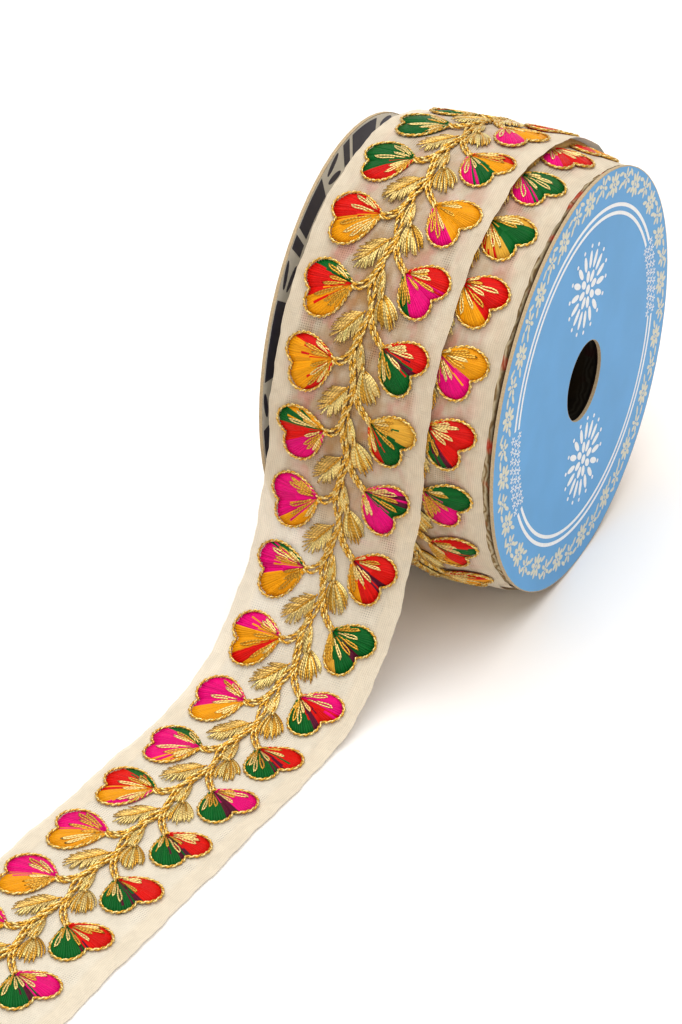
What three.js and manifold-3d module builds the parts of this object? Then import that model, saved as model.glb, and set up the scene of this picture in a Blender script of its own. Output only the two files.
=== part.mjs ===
// Roll of embroidered net lace, wound between two card discs, with its loose end laid out in front.
// Millimetres, Z up. X runs along the spool's axis towards the printed disc, and the loose end runs
// towards -Y. While it is built, X is 0 on the printed disc's outer face, Y is 0 on the spool's axis
// and Z is 0 on the surface that it stands on. At the end the whole is moved so that the origin is
// under its middle.
import * as THREE from 'three';
import { mergeVertices } from 'three/addons/utils/BufferGeometryUtils.js';
import Module from 'manifold-3d';

const wasm = await Module();
wasm.setup();

const DEGREE = Math.PI / 180;
const FULL_TURN = 2 * Math.PI;

// Card spool
const DISC_RADIUS = 65;
const DISC_THICKNESS = 1.0;
const HOLE_RADIUS = 12.5;
const SPOOL_WIDTH = 77.7;
const BACK_DISC_TURN = 2.6 * DEGREE;
const AXIS_HEIGHT = DISC_RADIUS;
const CIRCLE_SIDES = 72;
const GAP = 0.35;

// Lace as it is made, laid flat
const LACE_WIDTH = 50.8;
const LACE_THICKNESS = 1.0;
const VINE_HALF_WIDTH = 1.6;
const VINE_HEIGHT = 0.8;
const VINE_SWAY = 0.9;
const REPEAT = 21.8;
const HEM_OPENING = 0.024;
const HEM_OPENS_FROM = 40;

// Wound pack: the buried turns, the turn below the last, and the last turn
const BORE_RADIUS = HOLE_RADIUS + 0.4;
const PACK_LEFT = -66.5;
const PACK_RIGHT = -(DISC_THICKNESS + 0.6);
const PACK_OVERRUN = 6.5;
const PACK_ROWS = 6;
const PACK_MIDDLE = -32;
const PACK_RADIUS = 65.7;
const PACK_CROWN = 2;
const PACK_CROWN_REACH = 30;
const BURIED_RADIUS = 50;
const TURN_DEPTH = 4;
const UNDER_RADIUS = 66.9;
const UNDER_CENTRE = -28.4;
const UNDER_LEAN = 0.6;
const UNDER_DROOP = 2.4;
const UNDER_DROOP_START = -22;
const UNDER_DROOP_REACH = 18;
const UNDER_DROOP_ROWS = 3;
const UNDER_FIRST_HEART = 15.3 * DEGREE;
const UNDER_BARE_REPEATS = 4;
const LAST_RADIUS = 68.4;
const LAST_LOOSENESS = 1.7;
const LAST_DROOP = 1.7;
const LAST_DROOP_START = -30;
const LAST_DROOP_REACH = 40;
const LAST_EVEN_SHIFT = 0.45;
const TUCK_DEPTH = 1.1;
const TUCK_FROM = 250 * DEGREE;
const TUCK_TO = 345 * DEGREE;
const LAY_RADIUS = 68;
const ROLL_STEP = 5.4;

// Loose end: where it leaves the roll, how it falls, and how far it runs on the surface
const LEAVE_ANGLE = 6.1 * DEGREE;
const LEAVE_CENTRE = -45.2;
const FALL_HANDLE = 62;
const LANDING = 125;
const LANDING_HANDLE = 16;
const FLOOR_RUN = 150;
const DRIFT_AT_ROLL = 0.018;
const DRIFT_ON_FLOOR = 0.134;
const TAIL_STEP = 5;
const ROOM_STEP = 4;

// Embroidery. Along is measured from a repeat's start towards the free end, across from the vine
// towards the printed disc, and angle from the lace's length, positive towards the printed disc.
const FIRST_REPEAT = 20.3;
const STITCH_ROOT = 0.8;
const HEART_HEIGHT = 1.2;
const LEAF_HEIGHT = 0.8;
const LEFT_HEART = { along: 0, across: -6.4, angle: -72 * DEGREE, halfWidth: 8.3, length: 15.2, cleft: 13.4 };
const LEFT_LEAF = { along: 7, across: -0.6, angle: -39 * DEGREE, halfWidth: 2.9, length: 12.2 };
const RIGHT_HEART = { along: 15.4, across: 7.6, angle: 61 * DEGREE, halfWidth: 8, length: 14.2, cleft: 11.6 };
const RIGHT_LEAF = { along: 22.6, across: 3.2, angle: 26 * DEGREE, halfWidth: 3.1, length: 10.2 };

const COLOURS = {
  printedCard: 0x6aa0d0,
  plainCard: 0xd9ccb4,
  lace: 0xe4d6b0,
};

const CARD_ROUGHNESS = 0.6;
const LACE_ROUGHNESS = 0.85;

const smoothstep = THREE.MathUtils.smoothstep;

// Solids

function toSolid(geometry) {
  geometry.deleteAttribute('normal');
  geometry.deleteAttribute('uv');
  const merged = mergeVertices(geometry, 1e-4);
  return new wasm.Manifold(new wasm.Mesh({
    numProp: 3,
    vertProperties: new Float32Array(merged.attributes.position.array),
    triVerts: new Uint32Array(merged.index.array),
  }));
}

function toMesh(name, solid, colour, roughness) {
  const { vertProperties, triVerts } = solid.getMesh();
  const geometry = new THREE.BufferGeometry();
  geometry.setAttribute('position', new THREE.BufferAttribute(vertProperties, 3));
  geometry.setIndex(new THREE.BufferAttribute(triVerts, 1));
  geometry.computeVertexNormals();
  const material = new THREE.MeshStandardMaterial({ color: colour, roughness, metalness: 0 });
  const mesh = new THREE.Mesh(geometry, material);
  mesh.name = name;
  return mesh;
}

function moveVertices(geometry, place) {
  const position = geometry.attributes.position;
  const vertex = new THREE.Vector3();
  for (let i = 0; i < position.count; i += 1) {
    const moved = place(vertex.fromBufferAttribute(position, i));
    position.setXYZ(i, moved.x, moved.y, moved.z);
  }
  return geometry;
}

// A ring about the spool's axis from a closed profile of [radius, x] rows
function turned(profile) {
  const points = profile.map(([radius, x]) => new THREE.Vector2(radius, x));
  points.push(points[0].clone());
  return new THREE.LatheGeometry(points, CIRCLE_SIDES).rotateZ(-Math.PI / 2).translate(0, 0, AXIS_HEIGHT);
}

// Where the lace lies

// The last turn droops towards the back disc and lies loose over the top
function lastTurnRadius(x, angle) {
  const reach = Math.max(0, (LAST_DROOP_START - x) / LAST_DROOP_REACH);
  const rise = Math.max(0, Math.sin(angle));
  return LAST_RADIUS - LAST_DROOP * reach * reach + LAST_LOOSENESS * rise * rise;
}

// The turn below it droops towards the printed disc
function underTurnRadius(x) {
  const reach = Math.max(0, (x - UNDER_DROOP_START) / UNDER_DROOP_REACH);
  return UNDER_RADIUS - UNDER_DROOP * reach * reach;
}

function aroundAxis(x, radius, angle) {
  return new THREE.Vector3(x, -radius * Math.cos(angle), AXIS_HEIGHT + radius * Math.sin(angle));
}

// The last turn runs from the leaving point over the top and round the back, moves over towards the
// printed disc, slowly at first, and tucks in below the turn that lies under it
function onLastTurn(turn, across, lift) {
  const share = turn / FULL_TURN;
  const shift = LAST_EVEN_SHIFT * share + (1 - LAST_EVEN_SHIFT) * share * share;
  const x = LEAVE_CENTRE + (UNDER_CENTRE - LEAVE_CENTRE) * shift + across;
  const angle = LEAVE_ANGLE + turn;
  const outside = lastTurnRadius(x, angle);
  const tucked = underTurnRadius(x) - TUCK_DEPTH;
  const radius = THREE.MathUtils.lerp(outside, tucked, smoothstep(turn, TUCK_FROM, TUCK_TO));
  return aroundAxis(x, radius + lift, angle);
}

function onUnderTurn(angle, across, lift) {
  const x = UNDER_CENTRE + UNDER_LEAN * Math.sin(angle) + across;
  return aroundAxis(x, underTurnRadius(x) + lift, angle);
}

// The loose end's upper side, seen along the spool's axis, on the line that leaves the roll at x
function fallCurve(x) {
  const radius = lastTurnRadius(x, LEAVE_ANGLE);
  const leaving = aroundAxis(x, radius, LEAVE_ANGLE);
  const start = new THREE.Vector2(leaving.y, leaving.z);
  const down = new THREE.Vector2(-Math.sin(LEAVE_ANGLE), -Math.cos(LEAVE_ANGLE));
  const end = new THREE.Vector2(-LANDING, LACE_THICKNESS);
  const startHandle = start.clone().addScaledVector(down, FALL_HANDLE);
  const endHandle = new THREE.Vector2(LANDING_HANDLE - LANDING, LACE_THICKNESS);
  return new THREE.CubicBezierCurve(start, startHandle, endHandle, end);
}

const MIDDLE_FALL = fallCurve(LEAVE_CENTRE);
const FALL_LENGTH = MIDDLE_FALL.getLength();
const TAIL_LENGTH = FALL_LENGTH + FLOOR_RUN;

function tailCentre(along) {
  const fallen = Math.min(along, FALL_LENGTH);
  const gain = (DRIFT_ON_FLOOR - DRIFT_AT_ROLL) / (2 * FALL_LENGTH);
  const drift = DRIFT_AT_ROLL * fallen + gain * fallen * fallen;
  return LEAVE_CENTRE - drift - DRIFT_ON_FLOOR * (along - fallen);
}

function onTail(along, across, lift) {
  const x = tailCentre(along) + across;
  if (along >= FALL_LENGTH) {
    return new THREE.Vector3(x, -LANDING - (along - FALL_LENGTH), LACE_THICKNESS + lift);
  }
  const share = MIDDLE_FALL.getUtoTmapping(along / FALL_LENGTH);
  const curve = fallCurve(LEAVE_CENTRE + across);
  const point = curve.getPoint(share);
  const tangent = curve.getTangent(share);
  return new THREE.Vector3(x, point.x + tangent.y * lift, point.y - tangent.x * lift);
}

// Along is counted from the leaving point: positive on the loose end, negative on the roll
function onLace(along, across, lift) {
  return along < 0 ? onLastTurn(-along / LAY_RADIUS, across, lift) : onTail(along, across, lift);
}

// The folded hem on the printed disc's side opens out towards the free end
function rightEdge(along) {
  return LACE_WIDTH / 2 + HEM_OPENING * Math.max(0, along - HEM_OPENS_FROM);
}

// A straight length of lace bent to where it lies, its vine raised as a rib down the middle
function laceStrip(from, to, step, depth) {
  const quarter = LACE_WIDTH / 4;
  const columns = [-2 * quarter, -quarter, -VINE_HALF_WIDTH, 0, VINE_HALF_WIDTH, quarter, 2 * quarter];
  const last = columns.length - 1;
  const steps = Math.ceil((to - from) / step);
  const flat = new THREE.BoxGeometry(to - from, last, depth, steps, last, 1);
  flat.translate((to + from) / 2, last / 2, -depth / 2);
  return moveVertices(flat, ({ x: along, y, z }) => {
    const column = Math.round(y);
    const across = column === last ? rightEdge(along) : columns[column];
    const inVine = Math.abs(across) < quarter / 2;
    const sway = inVine ? VINE_SWAY * Math.sin(FULL_TURN * along / REPEAT) : 0;
    const rib = across === 0 && z > -depth / 2 ? VINE_HEIGHT : 0;
    return onLace(along, across + sway, z + rib);
  });
}

// A plain block in the lace's own measure, bent as the lace is, to cut room for it or to cut it off
function laceBlock(from, to, halfWidth, bottom, top, step) {
  const steps = Math.ceil((to - from) / step);
  const flat = new THREE.BoxGeometry(to - from, 2 * halfWidth, top - bottom, steps, 4, 1);
  flat.translate((to + from) / 2, 0, (top + bottom) / 2);
  return moveVertices(flat, ({ x, y, z }) => onLace(x, y, z));
}

// Embroidery

function heartShape({ halfWidth, length, cleft }) {
  const widest = 0.64 * length;
  const shape = new THREE.Shape();
  shape.moveTo(0, 0);
  shape.bezierCurveTo(0.15 * length, -0.43 * halfWidth, 0.32 * length, -halfWidth, widest, -halfWidth);
  shape.bezierCurveTo(0.94 * length, -halfWidth, 1.1 * length, -0.45 * halfWidth, cleft, 0);
  shape.bezierCurveTo(1.1 * length, 0.45 * halfWidth, 0.94 * length, halfWidth, widest, halfWidth);
  shape.bezierCurveTo(0.32 * length, halfWidth, 0.15 * length, 0.43 * halfWidth, 0, 0);
  return shape;
}

function leafShape({ halfWidth, length }) {
  const shape = new THREE.Shape();
  shape.moveTo(0, 0);
  shape.quadraticCurveTo(0.6 * length, -2 * halfWidth, length, 0);
  shape.quadraticCurveTo(0.6 * length, 2 * halfWidth, 0, 0);
  return shape;
}

const HEARTS = [LEFT_HEART, RIGHT_HEART];
const LEAVES = [LEFT_LEAF, RIGHT_LEAF];

// One raised motif. Place takes along, across and lift, and gives the point in space.
function stitched(motif, along, place) {
  const isHeart = HEARTS.includes(motif);
  const outline = isHeart ? heartShape(motif) : leafShape(motif);
  const depth = STITCH_ROOT + (isHeart ? HEART_HEIGHT : LEAF_HEIGHT);
  const geometry = new THREE.ExtrudeGeometry(outline, { depth, bevelEnabled: false, curveSegments: 3 });
  const cos = Math.cos(motif.angle);
  const sin = Math.sin(motif.angle);
  return toSolid(moveVertices(geometry, ({ x, y, z }) => (
    place(along + motif.along + x * cos - y * sin, motif.across + x * sin + y * cos, z - STITCH_ROOT)
  )));
}

function embroidery(from, to) {
  const motifs = [];
  const first = Math.floor((from - FIRST_REPEAT) / REPEAT) - 1;
  const last = Math.ceil((to - FIRST_REPEAT) / REPEAT);
  for (let repeat = first; repeat <= last; repeat += 1) {
    for (const motif of [...HEARTS, ...LEAVES]) {
      const start = FIRST_REPEAT + repeat * REPEAT;
      const end = start + motif.along + motif.length;
      if (end > from && end < to) {
        motifs.push(stitched(motif, start, onLace));
      }
    }
  }
  return motifs;
}

// The turn below shows its hearts by the printed disc all round, and the rest of its embroidery where
// the loose end has left it bare
function underTurnEmbroidery() {
  const count = Math.ceil(FULL_TURN * UNDER_RADIUS / REPEAT);
  const motifs = [];
  for (let i = 0; i < count; i += 1) {
    const start = UNDER_FIRST_HEART - FULL_TURN * i / count;
    const place = (along, across, lift) => onUnderTurn(start - along / UNDER_RADIUS, across, lift);
    const shown = i < UNDER_BARE_REPEATS ? [...HEARTS, ...LEAVES] : [RIGHT_HEART];
    motifs.push(...shown.map((motif) => stitched(motif, -RIGHT_HEART.along, place)));
  }
  return motifs;
}

// Pieces

function cardDisc() {
  const outline = new THREE.Shape().absarc(0, 0, DISC_RADIUS, 0, FULL_TURN);
  outline.holes.push(new THREE.Path().absarc(0, 0, HOLE_RADIUS, 0, FULL_TURN, true));
  const settings = { depth: DISC_THICKNESS, bevelEnabled: false, curveSegments: CIRCLE_SIDES / 2 };
  return new THREE.ExtrudeGeometry(outline, settings).rotateY(Math.PI / 2);
}

function cardMesh(name, colour) {
  const material = new THREE.MeshStandardMaterial({ color: colour, roughness: CARD_ROUGHNESS, metalness: 0 });
  const mesh = new THREE.Mesh(cardDisc(), material);
  mesh.name = name;
  return mesh;
}

function frontDisc() {
  const disc = cardMesh('front_disc', COLOURS.printedCard);
  disc.position.set(-DISC_THICKNESS, 0, AXIS_HEIGHT);
  return disc;
}

function backDisc() {
  const disc = cardMesh('back_disc', COLOURS.plainCard);
  disc.position.set(-SPOOL_WIDTH, 0, AXIS_HEIGHT);
  disc.rotation.z = BACK_DISC_TURN;
  return disc;
}

// The buried turns: a crowned pack, with deeper turns that are cut later to the back disc's plane
function buriedTurns() {
  const end = -SPOOL_WIDTH - PACK_OVERRUN;
  const profile = [[BORE_RADIUS, PACK_RIGHT], [BORE_RADIUS, end]];
  profile.push([BURIED_RADIUS, end], [BURIED_RADIUS, PACK_LEFT]);
  for (let i = 0; i <= PACK_ROWS; i += 1) {
    const x = PACK_LEFT + (PACK_RIGHT - PACK_LEFT) * i / PACK_ROWS;
    const share = (x - PACK_MIDDLE) / PACK_CROWN_REACH;
    profile.push([PACK_RADIUS - PACK_CROWN * share * share, x]);
  }
  return toSolid(turned(profile));
}

function underTurn() {
  const left = UNDER_CENTRE - LACE_WIDTH / 2;
  const right = UNDER_CENTRE + LACE_WIDTH / 2;
  const inner = underTurnRadius(right) - TURN_DEPTH;
  const profile = [[inner, right], [inner, left], [UNDER_RADIUS, left]];
  for (let i = 0; i <= UNDER_DROOP_ROWS; i += 1) {
    const x = UNDER_DROOP_START + (right - UNDER_DROOP_START) * i / UNDER_DROOP_ROWS;
    profile.push([underTurnRadius(x), x]);
  }
  const leaning = ({ x, y, z }) => (
    new THREE.Vector3(x + UNDER_LEAN * (z - AXIS_HEIGHT) / Math.hypot(y, z - AXIS_HEIGHT), y, z)
  );
  return toSolid(moveVertices(turned(profile), leaning));
}

function lastTurn() {
  return toSolid(laceStrip(-FULL_TURN * LAY_RADIUS, 0, ROLL_STEP, TURN_DEPTH));
}

// Room that the wound pack leaves: under the surface, round the loose end and by the back disc
function surfaceBelow() {
  const size = 4 * DISC_RADIUS;
  return toSolid(new THREE.BoxGeometry(size, size, size).translate(-SPOOL_WIDTH / 2, 0, -size / 2));
}

function roomForTail() {
  const halfWidth = LACE_WIDTH / 2 + GAP;
  const bottom = -LACE_THICKNESS - GAP;
  return toSolid(laceBlock(0, FALL_LENGTH / 2, halfWidth, bottom, 4 * HEART_HEIGHT, ROOM_STEP));
}

function roomForBackDisc() {
  const size = 4 * DISC_RADIUS;
  const block = new THREE.BoxGeometry(size, size, size).translate(DISC_THICKNESS + GAP - size / 2, 0, 0);
  return toSolid(block.rotateZ(BACK_DISC_TURN).translate(-SPOOL_WIDTH, 0, AXIS_HEIGHT));
}

function joined(solids) {
  return solids.reduce((whole, solid) => whole.add(solid));
}

function woundLace() {
  const lastStitched = -TUCK_FROM * LAY_RADIUS;
  const turns = [buriedTurns(), underTurn(), lastTurn()];
  const pack = joined([...turns, ...underTurnEmbroidery(), ...embroidery(lastStitched, RIGHT_HEART.length)]);
  const room = joined([surfaceBelow(), roomForTail(), roomForBackDisc()]);
  return toMesh('wound_lace', pack.subtract(room), COLOURS.lace, LACE_ROUGHNESS);
}

function laceTail() {
  const sheet = toSolid(laceStrip(GAP - REPEAT, TAIL_LENGTH, TAIL_STEP, LACE_THICKNESS));
  const onRoll = toSolid(laceBlock(-2 * REPEAT, GAP, LACE_WIDTH, -2 * TURN_DEPTH, 2 * TURN_DEPTH, ROOM_STEP));
  const tail = joined([sheet, ...embroidery(0, TAIL_LENGTH)]).subtract(onRoll);
  return toMesh('lace_tail', tail, COLOURS.lace, LACE_ROUGHNESS);
}

const roll = new THREE.Group();
roll.add(frontDisc(), backDisc(), woundLace(), laceTail());

// The origin goes under the middle of the whole
const box = new THREE.Box3().setFromObject(roll, true);
const middle = box.getCenter(new THREE.Vector3());
roll.position.set(-middle.x, -middle.y, -box.min.z);

export default roll;
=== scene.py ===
"""Roll of embroidered net lace between two card discs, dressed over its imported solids.

Lengths in the tables are millimetres, and every finished mesh is in metres in the frame of the solids.
"""

import math

import bmesh
import bpy
import numpy as np
from mathutils import Matrix, Vector


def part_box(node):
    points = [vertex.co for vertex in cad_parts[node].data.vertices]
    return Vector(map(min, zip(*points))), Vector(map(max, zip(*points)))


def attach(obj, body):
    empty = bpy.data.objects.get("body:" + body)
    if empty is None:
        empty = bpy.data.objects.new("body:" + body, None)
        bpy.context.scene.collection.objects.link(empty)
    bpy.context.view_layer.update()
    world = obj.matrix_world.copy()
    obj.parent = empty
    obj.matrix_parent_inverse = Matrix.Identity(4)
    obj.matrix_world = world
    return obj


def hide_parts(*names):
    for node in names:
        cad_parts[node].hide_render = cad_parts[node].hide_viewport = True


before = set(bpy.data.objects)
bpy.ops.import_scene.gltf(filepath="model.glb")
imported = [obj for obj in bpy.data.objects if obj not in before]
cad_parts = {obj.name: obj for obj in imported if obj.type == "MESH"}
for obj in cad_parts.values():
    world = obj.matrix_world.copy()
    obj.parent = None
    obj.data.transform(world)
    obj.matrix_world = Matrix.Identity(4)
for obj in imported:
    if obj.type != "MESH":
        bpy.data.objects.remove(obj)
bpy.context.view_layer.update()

bl_info = {
    "name": "Embroidered Lace Roll",
    "version": (1, 0, 0),
    "blender": (4, 5, 0),
    "location": "View3D > Sidebar > Lace Roll",
    "description": "Dresses a roll of embroidered net lace on a card spool",
    "category": "Object",
}

MM = 0.001
FULL_TURN = 2 * math.pi

# Card spool: its face, axis and radius read from the imported solids, the rest given
DISC_LOW, DISC_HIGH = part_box("front_disc")
FACE_X = DISC_HIGH.x / MM
AXIS_Y = (DISC_LOW.y + DISC_HIGH.y) / 2 / MM
DISC_RADIUS = (DISC_HIGH.z - DISC_LOW.z) / 2 / MM
AXIS_HEIGHT = DISC_RADIUS
DISC_THICKNESS = 1.0
HOLE_RADIUS = 12.5
SPOOL_WIDTH = 77.7
BACK_DISC_TURN = math.radians(2.6)

# Route of the lace, as in the solids. X is 0 on the printed face and Y is 0 on the spool's axis.
LACE_WIDTH = 50.8
LACE_THICKNESS = 1.0
VINE_SWAY = 0.9
REPEAT = 21.8
HEM_OPENING = 0.024
HEM_OPENS_FROM = 40
BORE_RADIUS = 12.9
PACK_LEFT = -66.5
PACK_RIGHT = -1.6
PACK_MIDDLE = -32
PACK_RADIUS = 65.7
PACK_CROWN = 2
PACK_CROWN_REACH = 30
PACK_DISC_GAP = 0.4
PACK_PATTERN_SHIFT = 9
PACK_COLUMNS = 13
PACK_STEPS = 120
BURIED_RADIUS = 50
TURN_DEPTH = 4
UNDER_RADIUS = 66.9
UNDER_CENTRE = -28.4
UNDER_LEAN = 0.6
UNDER_DROOP = 2.4
UNDER_DROOP_START = -22
UNDER_DROOP_REACH = 18
UNDER_FIRST_HEART = math.radians(15.3)
UNDER_REPEATS = 20
UNDER_BARE_REPEATS = 4
UNDER_SEAM = math.radians(-100)
UNDER_LENGTH = FULL_TURN * UNDER_RADIUS
UNDER_END = (UNDER_FIRST_HEART - UNDER_SEAM) * UNDER_RADIUS
UNDER_HIDDEN_SINE = -0.93
LAST_RADIUS = 68.4
LAST_LOOSENESS = 1.7
LAST_DROOP = 1.7
LAST_DROOP_START = -30
LAST_DROOP_REACH = 40
LAST_EVEN_SHIFT = 0.45
TUCK_DEPTH = 1.1
TUCK_FROM = math.radians(250)
TUCK_TO = math.radians(345)
LAY_RADIUS = 68
LEAVE_ANGLE = math.radians(6.1)
LEAVE_CENTRE = -45.2
FALL_HANDLE = 62
LANDING = 125
LANDING_HANDLE = 16
FLOOR_RUN = 150
DRIFT_AT_ROLL = 0.018
DRIFT_ON_FLOOR = 0.134
FLOOR_CLEARANCE = 0.15

# Embroidery of one repeat. Along is measured from the left heart's tip towards the free end, across from
# the vine towards the printed disc, and angle from the lace's length.
FIRST_REPEAT = 20.3
LEFT_HEART = {"along": 0.0, "across": -6.4, "angle": math.radians(-72), "half_width": 8.3, "length": 15.2,
              "cleft": 13.4}
RIGHT_HEART = {"along": 15.4, "across": 7.6, "angle": math.radians(61), "half_width": 8.0, "length": 14.2,
               "cleft": 11.6}
LEFT_LEAF = {"along": 7.0, "across": -0.6, "angle": math.radians(-39), "half_width": 3.7, "length": 12.4}
RIGHT_LEAF = {"along": 22.6, "across": 3.2, "angle": math.radians(26), "half_width": 3.5, "length": 10.6}
PALE_LEAF = {"along": 15.4, "across": 1.0, "angle": math.radians(8), "half_width": 1.5, "length": 9.6}

# Silk of each heart, one letter for each band from the lobe nearer the roll to the lobe nearer the free
# end: p pink, r red, o orange, g green, d dark plum, y gold. Keys are repeats from the leaving point.
LEFT_HEARTS = {
    -6: "g", -5: "ggr", -4: "ro", -3: "grroo", -2: "rooor", -1: "ogrpp", 0: "ppo", 1: "gppooo",
    2: "ppooro", 3: "pppoo", 4: "gpppo", 5: "grrop", 6: "ppoo", 7: "ppoo",
}
RIGHT_HEARTS = {
    -8: "r", -7: "op", -6: "rogp", -5: "oop", -4: "rrppg", -3: "rrdgg", -2: "yyggr", -1: "pdgpp",
    0: "rrdro", 1: "ggdgy", 2: "pprdgg", 3: "rrdgg", 4: "ppddgg", 5: "rrdgg", 6: "rrdgg", 7: "rrdgg",
    8: "ppdgg",
}
UNDER_HEARTS = {
    -5: "rrp", -4: "ggp", -3: "yggyr", -2: "rrroo", -1: "oopp", 0: "rrrdg", 1: "ggpp", 2: "rgro", 3: "roo",
}
OTHER_HEARTS = ("ppoo", "rrdgg", "oorr", "ggdpp", "prro", "ggyy", "rroo", "pppoo")


# Colour and lines


def linear(code):
    """The linear colour of an sRGB hex value."""
    parts = [int(code[i:i + 2], 16) / 255 for i in (0, 2, 4)]
    return tuple(p / 12.92 if p <= 0.04045 else ((p + 0.055) / 1.055) ** 2.4 for p in parts)


def smoothstep(value, low, high):
    """A smooth rise from 0 at low to 1 at high."""
    share = np.clip((value - low) / (high - low), 0, 1)
    return share * share * (3 - 2 * share)


def unit(vectors):
    """Vectors at a length of 1."""
    return vectors / np.maximum(np.linalg.norm(vectors, axis=-1, keepdims=True), 1e-9)


def run_along(points):
    """How far along a line each of its points lies."""
    return np.concatenate([[0], np.cumsum(np.linalg.norm(np.diff(points, axis=0), axis=1))])


def along_line(points, count):
    """The line through points, taken again at count even steps."""
    points = np.asarray(points, float)
    run = run_along(points)
    steps = np.linspace(0, run[-1], count)
    return np.stack([np.interp(steps, run, points[:, k]) for k in range(points.shape[1])], axis=-1)


def evenly(low, high, step):
    """Even steps from low to high, none longer than step."""
    return np.linspace(low, high, math.ceil((high - low) / step) + 1)


def bezier(points, share):
    """Points at shares of a smooth line with four control points."""
    a, b, c, d = points
    t = share[..., None]
    return a * (1 - t) ** 3 + 3 * b * t * (1 - t) ** 2 + 3 * c * t ** 2 * (1 - t) + d * t ** 3


def bezier_slope(points, share):
    """Directions of that line at shares of it."""
    a, b, c, d = points
    t = share[..., None]
    return 3 * (b - a) * (1 - t) ** 2 + 6 * (c - b) * t * (1 - t) + 3 * (d - c) * t ** 2


# Route of the lace


def in_row_frame(points):
    """Route millimetres to metres in the frame of the solids, kept above the surface."""
    moved = np.array(points, float) + (FACE_X, AXIS_Y, 0)
    moved[..., 2] = np.maximum(moved[..., 2], FLOOR_CLEARANCE)
    return moved * MM


def around_axis(x, radius, angle):
    """Points round the spool's axis. The angle is 0 at the roll's front and grows upwards."""
    return np.stack([x, -radius * np.cos(angle), AXIS_HEIGHT + radius * np.sin(angle)], axis=-1)


def last_turn_radius(x, angle):
    """The last turn droops towards the back disc, and stands a little loose over the top."""
    reach = np.maximum(0, (LAST_DROOP_START - x) / LAST_DROOP_REACH)
    rise = np.maximum(0, np.sin(angle))
    return LAST_RADIUS - LAST_DROOP * reach ** 2 + LAST_LOOSENESS * rise ** 2


def under_turn_radius(x):
    """The turn below droops towards the printed disc."""
    reach = np.maximum(0, (x - UNDER_DROOP_START) / UNDER_DROOP_REACH)
    return UNDER_RADIUS - UNDER_DROOP * reach ** 2


def last_turn_centre(turn):
    """The last turn's middle, which moves over from the leaving point to the turn below."""
    share = turn / FULL_TURN
    shift = LAST_EVEN_SHIFT * share + (1 - LAST_EVEN_SHIFT) * share ** 2
    return LEAVE_CENTRE + (UNDER_CENTRE - LEAVE_CENTRE) * shift


def on_last_turn(along, across, lift):
    """Flat lace to its place on the last turn, whose far end is tucked in below the turn under it."""
    turn = -along / LAY_RADIUS
    x = last_turn_centre(turn) + across
    angle = LEAVE_ANGLE + turn
    outside = last_turn_radius(x, angle)
    tucked = under_turn_radius(x) - TUCK_DEPTH
    radius = outside + (tucked - outside) * smoothstep(turn, TUCK_FROM, TUCK_TO)
    return around_axis(x, radius + lift, angle)


def on_under_turn(along, across, lift):
    """Flat lace to its place on the turn below the last."""
    angle = UNDER_FIRST_HEART - along / UNDER_RADIUS
    x = UNDER_CENTRE + UNDER_LEAN * np.sin(angle) + across
    return around_axis(x, under_turn_radius(x) + lift, angle)


def fall_points(across):
    """The four control points, in Y and Z, of the fall on the line that leaves the roll at across."""
    start = around_axis(across, last_turn_radius(LEAVE_CENTRE + across, LEAVE_ANGLE), LEAVE_ANGLE)[..., 1:]
    down = np.array([-math.sin(LEAVE_ANGLE), -math.cos(LEAVE_ANGLE)])
    landed = np.broadcast_to([-LANDING, LACE_THICKNESS], start.shape)
    return start, start + FALL_HANDLE * down, landed + (LANDING_HANDLE, 0), landed


FALL_SHARES = np.linspace(0, 1, 2001)
FALL_RUN = run_along(bezier(fall_points(np.zeros_like(FALL_SHARES)), FALL_SHARES))
FALL_LENGTH = FALL_RUN[-1]
TAIL_LENGTH = FALL_LENGTH + FLOOR_RUN


def on_tail(along, across, lift):
    """Flat lace to its place on the loose end, which drifts to the side as it falls."""
    fallen = np.clip(along, 0, FALL_LENGTH)
    gain = (DRIFT_ON_FLOOR - DRIFT_AT_ROLL) / (2 * FALL_LENGTH)
    drift = DRIFT_AT_ROLL * fallen + gain * fallen ** 2 + DRIFT_ON_FLOOR * (along - fallen)
    share = np.interp(fallen, FALL_RUN, FALL_SHARES)
    points = fall_points(across)
    line = bezier(points, share)
    slope = unit(bezier_slope(points, share))
    y = line[..., 0] + slope[..., 1] * lift - (along - fallen)
    z = line[..., 1] - slope[..., 0] * lift
    return np.stack([LEAVE_CENTRE - drift + across, y, z], axis=-1)


def on_lace(along, across, lift):
    """Flat lace to its place on the last turn, or past the leaving point on the loose end."""
    on_roll = on_last_turn(np.minimum(along, 0), across, lift)
    return np.where((along < 0)[..., None], on_roll, on_tail(np.maximum(along, 0), across, lift))


def right_edge(along):
    """The folded hem by the printed disc opens out towards the free end."""
    return LACE_WIDTH / 2 + HEM_OPENING * np.maximum(0, along - HEM_OPENS_FROM)


def vine_sway(along):
    """How far the vine lies to the side of the lace's middle line."""
    return VINE_SWAY * np.sin(FULL_TURN * along / REPEAT)


# Threads


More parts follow.
